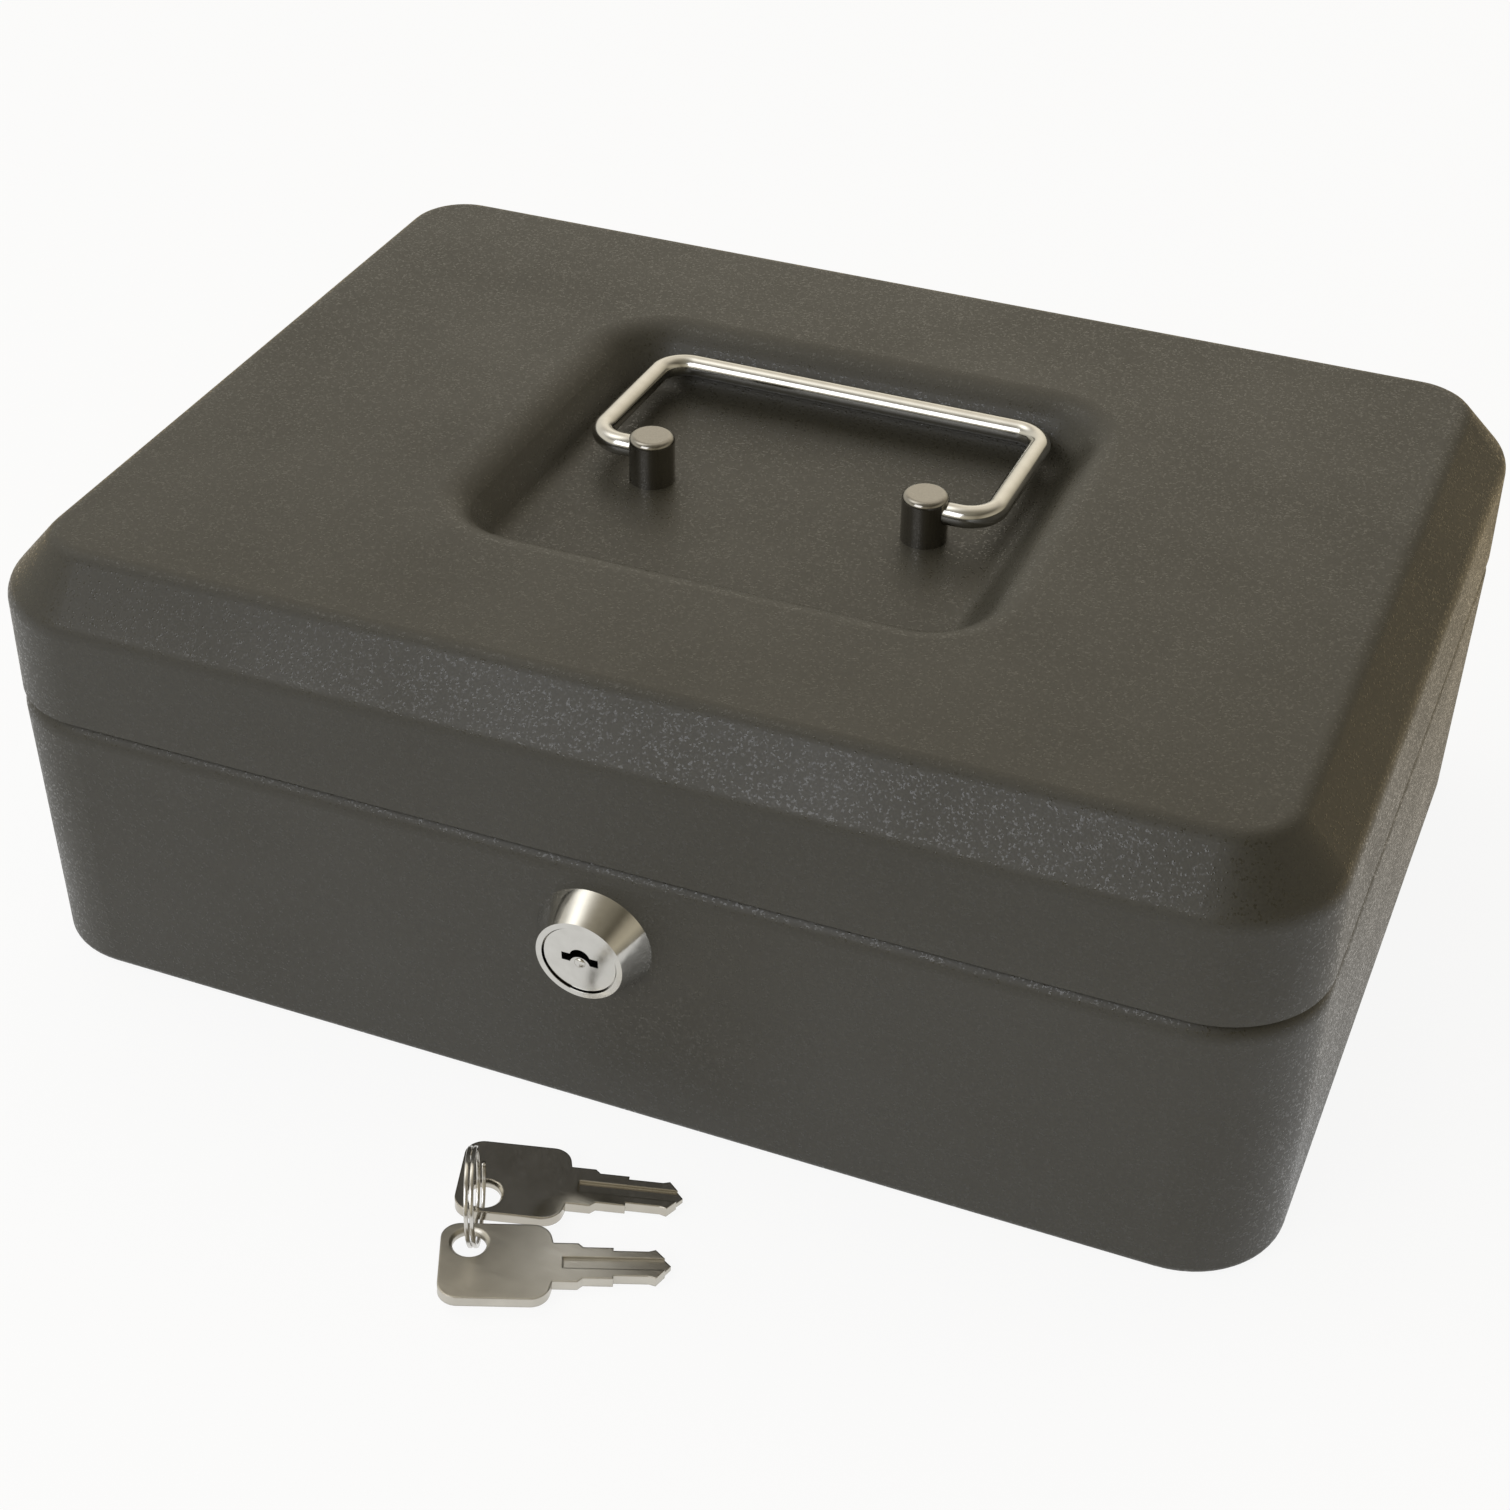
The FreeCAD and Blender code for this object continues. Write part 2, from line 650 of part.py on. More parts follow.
def make_hinge(side_name, side):
    x = "(half_width - hinge_from_side)" if side > 0 else "-(half_width - hinge_from_side)"

    name = "hinge_base_leaf_" + side_name
    body = new_body(name)
    near = "-(knuckle_radius + hinge_gap)"
    far = "-(knuckle_radius + hinge_gap - leaf_gauge)"
    top = "(flange_top - hinge_z - hinge_gap)"
    clear = hinge_plate(body, name, near, far, top)
    ends = knuckle(body, name, near, far, clear + " + leaf_gauge", "hinge_end_knuckle - hinge_gap / 2",
                   "hinge_length / 2 - hinge_end_knuckle + hinge_gap / 2")
    mirror = body.newObject("PartDesign::Mirrored", name + "_other_end")
    mirror.Originals = ends
    mirror.MirrorPlane = (plane_of(body, "YZ_Plane"), [""])
    body.Tip = mirror
    doc.recompute()
    pin_bore(body, name)
    place(body, x, "hinge_y", "hinge_z")
    finish(body, name)

    name = "hinge_lid_leaf_" + side_name
    body = new_body(name)
    far = "(half_depth - sheet_gauge - hinge_y)"
    near = "(%s - leaf_gauge)" % far
    clear = hinge_plate(body, name, near, far, "(slope_start - lid_leaf_top_gap - hinge_z)")
    middle = "hinge_length - 2 * hinge_end_knuckle - hinge_gap"
    knuckle(body, name, near, far, clear + " + leaf_gauge", middle)
    pin_bore(body, name)
    place(body, x, "hinge_y", "hinge_z")
    finish(body, name)

    name = "hinge_pin_" + side_name
    body = new_body(name)
    rod = new_sketch(body, name + "_rod_outline", "YZ_Plane")
    circle(rod, "0", "0", "2 * hinge_pin_radius")
    pad(body, name + "_rod", rod, "hinge_length + 2 * pin_clearance", middle=True)
    head = new_sketch(body, name + "_head_outline", "YZ_Plane", "hinge_length / 2 + pin_clearance")
    circle(head, "0", "0", "2 * pin_head_radius")
    end = pad(body, name + "_head", head, "pin_head_length")
    mirror = body.newObject("PartDesign::Mirrored", name + "_other_head")
    mirror.Originals = [end]
    mirror.MirrorPlane = (plane_of(body, "YZ_Plane"), [""])
    body.Tip = mirror
    doc.recompute()
    place(body, x, "hinge_y", "hinge_z")
    finish(body, name)


# Lock, drawn with its axis along Z and its seat on the wall's outside at zero, then stood square to the wall
def place_in_lock(piece):
    place(piece, y="lock_y", z="lock_height", tilt="90 deg + atan(base_draft_run / ledge_height)")


def make_lock_housing():
    body = new_body("lock_housing")
    outline = new_sketch(body, "housing_profile", "XZ_Plane")
    bore = "(plug_diameter / 2 + plug_clearance)"
    rim = "(plug_rim_diameter / 2 + rim_gap)"
    seat = "(bezel_length - plug_recess - plug_rim_length - rim_gap)"
    polygon(outline, [("bezel_back_diameter / 2", "0"), ("bezel_front_diameter / 2", "bezel_length"),
                      (rim, "bezel_length"), (rim, seat), (bore, seat), (bore, "-barrel_length"),
                      ("barrel_diameter / 2", "-barrel_length"), ("barrel_diameter / 2", "0")])
    revolve(body, "housing_turned", outline)
    place_in_lock(body)
    finish(body, "lock_housing")


def make_lock_washer_and_nut():
    washer = new_body("lock_washer")
    outline = new_sketch(washer, "lock_washer_outline", out="-sheet_gauge")
    circle(outline, "0", "0", "nut_across_flats")
    circle(outline, "0", "0", "barrel_diameter + 2 * barrel_slack")
    pad(washer, "lock_washer_disc", outline, "lock_washer_gauge", reverse=True)
    place_in_lock(washer)
    finish(washer, "lock_washer")
    nut = new_body("lock_nut")
    outline = new_sketch(nut, "nut_outline", out="-(sheet_gauge + lock_washer_gauge)")
    corner = "nut_across_flats / (2 * cos(30 deg))"
    polygon(outline, [("%s * cos(%d deg)" % (corner, turn),
                       "%s * sin(%d deg)" % (corner, turn) if turn % 180 else "0")
                      for turn in range(0, 360, 60)])
    circle(outline, "0", "0", "barrel_diameter + barrel_slack")
    pad(nut, "nut_block", outline, "nut_height", reverse=True)
    place_in_lock(nut)
    finish(nut, "lock_nut")


def make_lock_plug():
    body = new_body("lock_plug")
    outline = new_sketch(body, "plug_profile", "XZ_Plane")
    front = "(bezel_length - plug_recess)"
    under = "(bezel_length - plug_recess - plug_rim_length)"
    bore = "(cam_screw_diameter / 2)"
    bore_end = "(cam_back + cam_screw_grip + screw_slack)"
    polygon(outline, [("0", front), ("plug_rim_diameter / 2", front), ("plug_rim_diameter / 2", under),
                      ("plug_diameter / 2", under), ("plug_diameter / 2", "-barrel_length"),
                      (bore, "-barrel_length"), (bore, bore_end), ("0", bore_end)])
    revolve(body, "plug_turned", outline)
    tail = new_sketch(body, "tail_outline", out="-barrel_length")
    half = "(tail_width / 2)"
    polygon(tail, [("-" + half, "-" + half), (half, "-" + half), (half, half), ("-" + half, half)])
    circle(tail, "0", "0", "cam_screw_diameter")
    pad(body, "tail", tail, "cam_gap + cam_gauge", reverse=True)
    keyway = new_sketch(body, "keyway_outline", out=front)
    arched_slot(keyway, "(keyway_width / 2)", "(keyway_height / 2)", "(keyway_arch_span / 2)", "keyway_arch")
    pocket(body, "keyway", keyway, "keyway_depth")
    place_in_lock(body)
    finish(body, "lock_plug")


def make_lock_cam():
    body = new_body("lock_cam")
    outline = new_sketch(body, "cam_outline", out="cam_front")
    half = "(cam_width / 2)"
    polygon(outline, [("-" + half, "-" + half), (half, "-" + half), (half, "cam_reach"),
                      ("-" + half, "cam_reach")])
    hole = "(tail_width / 2 + tail_slack)"
    polygon(outline, [("-" + hole, "-" + hole), (hole, "-" + hole), (hole, hole), ("-" + hole, hole)])
    plate = pad(body, "cam_plate", outline, "cam_gauge", reverse=True)
    edge_of_hole = number(hole) + 1e-3
    corners = upright_edges(plate, lambda place: abs(place.x) > edge_of_hole)
    fillet(body, "cam_corners", corners, "cam_corner")
    place_in_lock(body)
    finish(body, "lock_cam")


def make_cam_screw():
    body = new_body("cam_screw")
    head = new_sketch(body, "cam_screw_head_outline", out="cam_back")
    circle(head, "0", "0", "cam_screw_head_diameter")
    pad(body, "cam_screw_head", head, "cam_screw_head_height", reverse=True)
    shank = new_sketch(body, "cam_screw_shank_outline", out="cam_back")
    circle(shank, "0", "0", "cam_screw_diameter - screw_slack")
    pad(body, "cam_screw_shank", shank, "cam_screw_grip")
    place_in_lock(body)
    finish(body, "cam_screw")


# Strike: a bracket on the lid's front skirt that reaches over the flange and hooks under the locked cam
def make_strike():
    body = new_body("strike")
    arm_near = "(cam_reach - strike_arm_overlap)"
    leg_far = "(strike_leg_x + strike_arm_width)"
    shelf = "(flange_top + strike_shelf_gap)"
    wall = "-(half_depth - sheet_gauge)"
    drop = "-strike_y"
    bracket = new_sketch(body, "bracket_profile", "YZ_Plane", arm_near)
    polygon(bracket, [(wall, shelf), (drop, shelf), (drop, shelf + " + strike_gauge"),
                      (wall + " + strike_gauge", shelf + " + strike_gauge"),
                      (wall + " + strike_gauge", "(slope_start - strike_weld_gap)"),
                      (wall, "(slope_start - strike_weld_gap)")])
    pad(body, "bracket", bracket, leg_far + " - " + arm_near)
    hook = new_sketch(body, "hook_outline", "XZ_Plane", "strike_y")
    arm_top = "(lock_height - cam_width / 2 - strike_gap)"
    arm_low = "(lock_height - cam_width / 2 - strike_gap - strike_arm_height)"
    polygon(hook, [("strike_leg_x", shelf + " + strike_gauge"), (leg_far, shelf + " + strike_gauge"),
                   (leg_far, arm_low), (arm_near, arm_low), (arm_near, arm_top), ("strike_leg_x", arm_top)])
    pad(body, "hook", hook, "strike_gauge")
    finish(body, "strike")


# Coin tray: a moulded block with a rim that hangs on the flange, a notch for the lock and eight cells
def cell(sketch, left, front, right, back, outer=None):
    """One cell. The corner numbered outer lies in a corner of the tray and follows its bend."""
    corners = ["tray_corner - tray_wall" if k == outer else "cell_corner" for k in range(4)]
    rounded_rectangle(sketch, left, front, right, back, corners)


def make_coin_tray():
    body = new_body("coin_tray")
    outline = new_sketch(body, "tray_outline", out="tray_floor_height")
    rounded_rectangle(outline, "-tray_x", "-tray_y", "tray_x", "tray_y", "tray_corner")
    seat = "(flange_top + tray_seat_gap)"
    pad(body, "tray_block", outline, seat + " - tray_floor_height")
    chamfer(body, "tray_bottom_bevel", level_edges(body.Tip, "tray_floor_height"), "tray_edge_bevel")
    rim = new_sketch(body, "tray_rim_outline", out=seat)
    plan(rim, "flange_inset", "corner_radius - flange_inset")
    pad(body, "tray_rim", rim, "tray_rim_gauge")
    well = new_sketch(body, "tray_well_outline", out="tray_top")
    x = "(tray_x - tray_wall)"
    y = "(tray_y - tray_wall)"
    rounded_rectangle(well, "-" + x, "-" + y, x, y, "tray_corner - tray_wall")
    pocket(body, "tray_well", well, "tray_well_depth")
    notch = new_sketch(body, "tray_notch_outline", out="tray_top")
    back = "-(tray_y - notch_depth)"
    polygon(notch, [("-notch_half_width", "-half_depth"), ("notch_half_width", "-half_depth"),
                    ("notch_half_width", back), ("-notch_half_width", back)])
    pocket(body, "tray_notch", notch)
    cells = new_sketch(body, "tray_cells_outline", out="tray_top - tray_well_depth")
    divide = "(tray_y - tray_wall - note_cell_depth)"
    note_width = "((2 * (tray_x - tray_wall) - 2 * tray_wall) / 3)"
    for k, outer in enumerate((3, None, 2)):
        left = "(-%s + %d * (%s + tray_wall))" % (x, k, note_width)
        cell(cells, left, divide, "(%s + %s)" % (left, note_width), y, outer)
    coin_back = "(%s - tray_wall)" % divide
    notch_side = "(notch_half_width + tray_wall)"
    coin_width = "((tray_x - tray_wall - notch_half_width - tray_wall - tray_wall) / 2)"
    starts = {"-" + x: 0, "(-%s + %s + tray_wall)" % (x, coin_width): None, notch_side: None,
              "(%s + %s + tray_wall)" % (notch_side, coin_width): 1}
    for start, outer in starts.items():
        cell(cells, start, "-" + y, "(%s + %s)" % (start, coin_width), coin_back, outer)
    cell(cells, "-notch_half_width", "(%s + tray_wall)" % back, "notch_half_width", coin_back)
    floor = "(tray_floor_height + tray_wall)"
    pocket(body, "tray_cells", cells, "tray_top - tray_well_depth - " + floor)
    chamfer(body, "cell_floor_bevels", level_edges(body.Tip, floor), "cell_floor_bevel")
    finish(body, "coin_tray")


# Keys and their ring
def ring_centre_height():
    return number("ring_radius + ring_wire_width / 2 + floor_gap")


def key_hole_height():
    """The middle of both holes, where the ring that stands on the floor passes through them."""
    half_gap = math.hypot(number("front_key_x - rear_key_x"), number("front_key_y - rear_key_y")) / 2
    return ring_centre_height() - math.sqrt(number("ring_radius") ** 2 - half_gap ** 2)


def make_key(name, x, y, heading, turned_over):
    """A flat key with its hole at the local origin and its tip along X."""
    body = new_body(name)
    outline = new_sketch(body, name + "_outline")
    line = "-key_hole_off_line"
    bow_start = "-key_hole_from_end"
    bow_end = "(key_bow_length - key_hole_from_end)"
    collar_end = "(%s + key_collar_length)" % bow_end
    step_at = "(%s + key_blade_length / 2)" % collar_end
    head_at = "(%s + key_blade_length)" % collar_end
    tip = "(%s + key_head_length)" % head_at
    upper = [(bow_end, "key_bow_width"), (bow_end + " + key_shoulder_run", "key_collar_width"),
             (collar_end, "key_collar_width"), (collar_end + " + key_shoulder_run", "key_blade_width"),
             (step_at, "key_blade_width"), (step_at, "key_step_width"), (head_at, "key_step_width"),
             (head_at + " + key_barb_run", "key_head_width")]
    far_side = [(along, "%s + %s / 2" % (line, width)) for along, width in upper]
    near_side = [(along, "%s - %s / 2" % (line, width)) for along, width in upper]
    polygon(outline, [(bow_start, line + " - key_bow_width / 2")] + near_side + [(tip, line)]
            + far_side[::-1] + [(bow_start, line + " + key_bow_width / 2")])
    circle(outline, "0", "0", "key_hole_diameter")
    plate = pad(body, name + "_plate", outline, "key_gauge", middle=True)
    reach = number("key_bow_width / 2") - 1e-3
    middle_line = number(line)
    corners = upright_edges(plate, lambda place: abs(place.y - middle_line) > reach)
    fillet(body, name + "_bow_corners", corners, "key_bow_corner")
    rims = ["Edge%d" % k for k, edge in enumerate(body.Tip.Shape.Edges, start=1) if edge.isClosed()]
    chamfer(body, name + "_hole_bevel", rims, "key_hole_bevel")
    start = bow_end + " + key_collar_length / 2"
    side = "key_channel_width / 2"
    for face, out in (("upper", "key_gauge / 2"), ("lower", "-key_gauge / 2")):
        channel = new_sketch(body, "%s_%s_channel_outline" % (name, face), out=out)
        polygon(channel, [(start, "%s - %s" % (line, side)), (tip, "%s - %s" % (line, side)),
                          (tip, "%s + %s" % (line, side)), (start, "%s + %s" % (line, side))])
        pocket(body, "%s_%s_channel" % (name, face), channel, "key_channel_depth", reverse=face == "lower")
    height = key_hole_height()
    droop = math.degrees(math.asin((height - number("key_gauge / 2 + floor_gap")) / number(tip)))
    turn = FreeCAD.Rotation(Vector(0, 0, 1), number(heading))
    turn = turn.multiply(FreeCAD.Rotation(Vector(0, 1, 0), droop))
    if turned_over:
        turn = turn.multiply(FreeCAD.Rotation(Vector(1, 0, 0), 180))
    body.Placement = FreeCAD.Placement(Vector(number(x), number(y), height), turn)
    finish(body, name)


def biarc(start, start_way, end, end_way):
    """Two arcs that leave start and reach end along the given unit directions."""
    chord = end - start
    ways = start_way + end_way
    spread = 2 * (1 - start_way.dot(end_way))
    lean = chord.dot(ways)
    arm = (-lean + math.sqrt(lean ** 2 + spread * chord.dot(chord))) / spread
    meet = (start + start_way * arm + end - end_way * arm) * 0.5
    arcs = []
    for near, way, far in ((start, start_way, meet), (end, end_way * -1, meet)):
        to_far = far - near
        across = (to_far - way * to_far.dot(way)).normalize()
        radius = to_far.dot(to_far) / (2 * to_far.dot(across))
        centre = near + across * radius
        middle = centre + ((near + far) * 0.5 - centre).normalize() * radius
        arcs.append(Part.Arc(near, middle, far).toShape())
    return arcs


def make_split_ring():
    """Two turns of square wire side by side: a helix about a level axis, two arcs for each quarter turn."""
    radius = number("ring_radius")
    pitch = number("ring_turn_pitch")
    quarters = int(round(4 * number("ring_turns")))
    rise = pitch / (2 * math.pi)

    def point(angle):
        return Vector(radius * math.cos(angle), radius * math.sin(angle), rise * angle)

    def way(angle):
        return Vector(-radius * math.sin(angle), radius * math.cos(angle), rise).normalize()

    edges = []
    for quarter in range(quarters):
        start = quarter * math.pi / 2
        end = start + math.pi / 2
        edges += biarc(point(start), way(start), point(end), way(end))
    route = Part.Wire(Part.__sortEdges__(edges))
    half_wire = number("ring_wire_width / 2")
    inward = Vector(1, 0, 0)
    across = way(0).cross(inward)
    signs = ((-1, -1), (1, -1), (1, 1), (-1, 1))
    corners = [point(0) + (inward * i + across * j) * half_wire for i, j in signs]
    sweep = Part.BRepOffsetAPI.MakePipeShell(route)
    sweep.setBiNormalMode(Vector(0, 0, 1))
    sweep.add(Part.makePolygon(corners + corners[:1]))
    sweep.build()
    sweep.makeSolid()
    ring = sweep.shape()
    straight_volume = 4 * half_wire ** 2 * route.Length
    print("split ring volume over section times length: %.4f" % (ring.Volume / straight_volume))
    print("split ring least gap between its turns: %.2f mm" % (pitch - 2 * half_wire))
    piece = doc.addObject("Part::Feature", "split_ring")
    piece.Shape = ring
    ends = [Vector(number(x), number(y), ring_centre_height())
            for x, y in (("front_key_x + ring_front_shift", "front_key_y"),
                         ("rear_key_x - ring_rear_shift", "rear_key_y"))]
    ahead = ends[1] - ends[0]
    half_width = pitch * number("ring_turns") / 2
    turn = FreeCAD.Rotation(ahead, Vector(0, 0, 1), Vector(0, 0, 0), "XYZ")
    middle = (ends[0] + ends[1]) * 0.5
    piece.Placement = FreeCAD.Placement(middle - turn.multVec(Vector(0, 0, half_width)), turn)
    finish(piece, "split_ring")


make_base_shell()
make_lid_shell()
make_handle()
make_post("post_left", -1)
make_post("post_right", 1)
make_post_fasteners()
make_hinge("left", -1)
make_hinge("right", 1)
make_lock_housing()
make_lock_washer_and_nut()
make_lock_plug()
make_lock_cam()
make_cam_screw()
make_strike()
make_coin_tray()
make_key("key_front", "front_key_x", "front_key_y", "front_key_heading", False)
make_key("key_rear", "rear_key_x", "rear_key_y", "rear_key_heading", True)
make_split_ring()
doc.recompute()

# Check every object, then write one file for each piece
for item in doc.Objects:
    if "Invalid" in item.State or "Error" in item.State:
        raise RuntimeError("%s failed: %s" % (item.Label, item.State))
os.makedirs("parts", exist_ok=True)
for name, piece in pieces.items():
    shape = piece.Shape
    if shape.isNull() or not shape.isValid():
        raise RuntimeError("%s has no valid shape" % name)
    shape.exportStep("parts/%s.step" % name)
    print("%-24s solids %d  volume %10.1f" % (name, len(shape.Solids), shape.Volume))
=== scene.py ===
# %% [markdown]
# # A steel cash box, dressed for its portrait
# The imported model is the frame: it gives every rigid piece at its real size, in metres, with the box's
# underside in the middle of the floor, the lock facing -Y and the hinges at +Y. This lesson sets the camera
# and the light, gives each piece the finish that its real maker would, and works out a few finer surfaces
# with numpy.

# %% Load the frame
import math

import bpy
import numpy as np
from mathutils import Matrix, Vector


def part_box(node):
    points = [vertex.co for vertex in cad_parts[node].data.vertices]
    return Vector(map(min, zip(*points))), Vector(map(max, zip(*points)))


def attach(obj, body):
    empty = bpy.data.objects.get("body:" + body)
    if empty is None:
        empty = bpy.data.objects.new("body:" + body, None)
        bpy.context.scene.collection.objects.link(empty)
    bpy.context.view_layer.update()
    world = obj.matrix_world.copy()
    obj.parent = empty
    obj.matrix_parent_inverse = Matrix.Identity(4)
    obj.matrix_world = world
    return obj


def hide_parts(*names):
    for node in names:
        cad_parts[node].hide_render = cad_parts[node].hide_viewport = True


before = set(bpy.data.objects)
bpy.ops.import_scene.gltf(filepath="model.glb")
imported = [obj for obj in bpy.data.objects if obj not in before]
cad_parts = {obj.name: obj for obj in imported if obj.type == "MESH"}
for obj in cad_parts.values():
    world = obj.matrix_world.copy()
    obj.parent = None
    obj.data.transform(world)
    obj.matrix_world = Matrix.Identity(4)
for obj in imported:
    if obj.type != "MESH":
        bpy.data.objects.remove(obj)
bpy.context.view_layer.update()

MM = 0.001
scene = bpy.context.scene

# %% [markdown]
# ## Camera
# The photograph was taken from in front, from the right and from above. A camera could be aimed by eye, but
# edges lean by the right amount only in the right perspective, so its place, turn and lens were fitted to
# the box's corners. A shift of the lens, rather than one more turn, puts the box at the right place in the
# square picture, because a shift leaves the slant of upright edges as it is.

# %% Camera
CAMERA_AT = (0.164751, -0.425451, 0.351965)
CAMERA_TURN = (54.4865, -0.3506, 22.5022)
LENS = 65.7506
SENSOR_WIDTH = 36
SHIFT_RIGHT = 0.010575
SHIFT_UP = -0.013784
NEAREST = 0.01
camera_data = bpy.data.cameras.new("photo_camera")
camera_data.sensor_width = SENSOR_WIDTH
camera_data.lens = LENS
camera_data.shift_x = SHIFT_RIGHT
camera_data.shift_y = SHIFT_UP
camera_data.clip_start = NEAREST
camera = bpy.data.objects.new("photo_camera", camera_data)
camera.location = CAMERA_AT
camera.rotation_euler = [math.radians(angle) for angle in CAMERA_TURN]
scene.collection.objects.link(camera)
scene.camera = camera
scene.view_settings.view_transform = "Standard"
print("camera lens: %.1f mm" % camera_data.lens)

# %% [markdown]
# ## Helpers for every finish
# Colours are easy to think about as the hex values that a screen shows, but a shader works in linear light,
# so one function turns the first into the second. A finish is a small graph of nodes: a second function
# starts an empty one, and a third adds a node to it with its settings, values and links. Sockets are found
# by name where their names differ, and otherwise by number: a Mix node has one set of sockets for each kind
# of value.

# %% Colour and node helpers
# A Mix node's sockets for colours: the share of the second, the two colours, and the result
SHARE, FIRST, SECOND, MIXED = 0, 6, 7, 2


def linear(hex_colour):
    """An sRGB hex colour as linear red, green, blue and alpha: each channel's screen curve, undone."""
    channels = [int(hex_colour[k:k + 2], 16) / 255 for k in (1, 3, 5)]
    return [c / 12.92 if c <= 0.04045 else ((c + 0.055) / 1.055) ** 2.4 for c in channels] + [1]


def new_finish(name):
    """An empty material and its node tree."""
    material = bpy.data.materials.new(name)
    material.use_nodes = True
    material.node_tree.nodes.clear()
    print("finish:", name)
    return material, material.node_tree


def add(tree, kind, values=None, links=None, **settings):
    """Add a node; values fill its sockets by name or number, and links join them to other nodes' sockets."""
    node = tree.nodes.new(kind)
    for name, setting in settings.items():
        setattr(node, name, setting)
    for socket, value in (values or {}).items():
        node.inputs[socket].default_value = value
    for socket, source in (links or {}).items():
        tree.links.new(source, node.inputs[socket])
    return node


# %% [markdown]
# ## Paper floor
# A product picture like this one is taken on a sheet of white paper. More light would make the sheet white,
# but it would also wash out the box. Light Path tells a shader which kind of ray has asked, so here camera
# and mirror rays see paper that glows a little, and other rays see plain paper. The shadow stays, because
# some of what the camera sees is still the lit paper. Mirror rays also see the paper behind the box in a
# warmer tone: a painted reflection of a warm wall that isn't there, which gives the box's side a warm sheen.

# %% Paper
GLOW_SHARE = 0.9
PAPER_TONE = "#ececea"
# A painted reflection: the warm tone in which mirror rays see the paper behind the box, as a sheen on its
# side
PAINTED_SHEEN_TONE = "#f4dcae"
PAINTED_SHEEN_TONE_STARTS = -0.05
PAINTED_SHEEN_TONE_FULL = 0.2
WHITE = (1, 1, 1, 1)
paper, tree = new_finish("white_paper")
path = add(tree, "ShaderNodeLightPath")
seen = add(tree, "ShaderNodeMath", operation="MAXIMUM",
           links={0: path.outputs["Is Camera Ray"], 1: path.outputs["Is Glossy Ray"]})
seen = add(tree, "ShaderNodeMath", operation="MAXIMUM",
           links={0: seen.outputs[0], 1: path.outputs["Is Transmission Ray"]})
share = add(tree, "ShaderNodeMath", operation="MULTIPLY", values={1: GLOW_SHARE}, links={0: seen.outputs[0]})
spot = add(tree, "ShaderNodeNewGeometry").outputs["Position"]
spot = add(tree, "ShaderNodeSeparateXYZ", links={0: spot})
# Mirror rays see the paper behind the box in the warm tone, a painted reflection
behind = add(tree, "ShaderNodeMapRange", values={"From Min": PAINTED_SHEEN_TONE_STARTS, "From Max": PAINTED_SHEEN_TONE_FULL},
             links={0: spot.outputs["Y"]})
painted_sheen_share = add(tree, "ShaderNodeMath", operation="MULTIPLY",
             links={0: behind.outputs[0], 1: path.outputs["Is Glossy Ray"]})
sheet = add(tree, "ShaderNodeMix", data_type="RGBA", values={FIRST: WHITE, SECOND: linear(PAINTED_SHEEN_TONE)},
            links={SHARE: painted_sheen_share.outputs[0]})
matt = add(tree, "ShaderNodeBsdfDiffuse", values={"Color": linear(PAPER_TONE)})
glow = add(tree, "ShaderNodeEmission", values={"Strength": 1.0}, links={"Color": sheet.outputs[MIXED]})
mixed = add(tree, "ShaderNodeMixShader", links={0: share.outputs[0], 1: matt.outputs[0], 2: glow.outputs[0]})
add(tree, "ShaderNodeOutputMaterial", links={"Surface": mixed.outputs[0]})

# %% Floor
FLOOR_HALF = 30.0
FLOOR_DROP = 0.2 * MM
SQUARE = ((-1, -1), (1, -1), (1, 1), (-1, 1))
corners = [(x * FLOOR_HALF, y * FLOOR_HALF, -FLOOR_DROP) for x, y in SQUARE]
floor_mesh = bpy.data.meshes.new("floor")
floor_mesh.from_pydata(corners, [], [(0, 1, 2, 3)])
floor_mesh.materials.append(paper)
floor = bpy.data.objects.new("floor", floor_mesh)
scene.collection.objects.link(floor)
print("floor: %.0f m wide" % (2 * FLOOR_HALF))

# %% [markdown]
# ## Room
# A dark, glossy coat shows mostly what stands around it, so the room matters more than the lamp. It could
# be made of real walls, but two colour ramps for the world are enough: one goes from the horizon up to the
# ceiling, the other from the left to the right, and their product is a pale room that is brighter on the
# left. Two soft windows are added to it: the cosine of the angle from the window's middle, raised to a
# power, so that a higher power gives a smaller window. Camera rays see the same white as on the paper, so
# that no horizon shows.

# %% Room's colours
ROOM_LEVEL = 1.2
BACKDROP = "#fbfaf9"
BLACK = (0, 0, 0, 1)
UPWARDS = ((0.0, "#9a978f"), (0.28, "#e6e2d6"), (0.5, "#d8d4ca"), (0.68, "#96938b"), (0.85, "#a5a29a"),
           (1.0, "#9d998f"))
SIDEWAYS = ((0.0, "#ffffff"), (0.4, "#f4f1ea"), (0.62, "#d4cfc2"), (0.83, "#a39d8f"), (1.0, "#d9d3c6"))
# Each window has the direction of its middle, its power, its level and its colour
WINDOWS = (((-0.5, 0.05, 0.87), 22.0, 1.6, "#fffdf8"),
           ((-0.02, 0.68, 0.73), 5.0, 0.6, "#fff4e2"))
print("room: %d windows" % len(WINDOWS))

# %% Room
world = bpy.data.worlds.new("studio")
scene.world = world
world.use_nodes = True
tree = world.node_tree
tree.nodes.clear()
direction = add(tree, "ShaderNodeTexCoord").outputs["Generated"]
parts = add(tree, "ShaderNodeSeparateXYZ", links={0: direction})
sideways = add(tree, "ShaderNodeMapRange", values={"From Min": -1.0}, links={0: parts.outputs["X"]})
walls = []
for source, stops in ((parts.outputs["Z"], UPWARDS), (sideways.outputs[0], SIDEWAYS)):
    ramp = add(tree, "ShaderNodeValToRGB", links={0: source})
    while len(ramp.color_ramp.elements) < len(stops):
        ramp.color_ramp.elements.new(0.5)
    for stop, (at, colour) in zip(ramp.color_ramp.elements, stops):
        stop.position = at
        stop.color = linear(colour)
    walls.append(ramp.outputs[0])
room = add(tree, "ShaderNodeMix", data_type="RGBA", blend_type="MULTIPLY", values={SHARE: 1.0},
           links={FIRST: walls[0], SECOND: walls[1]})
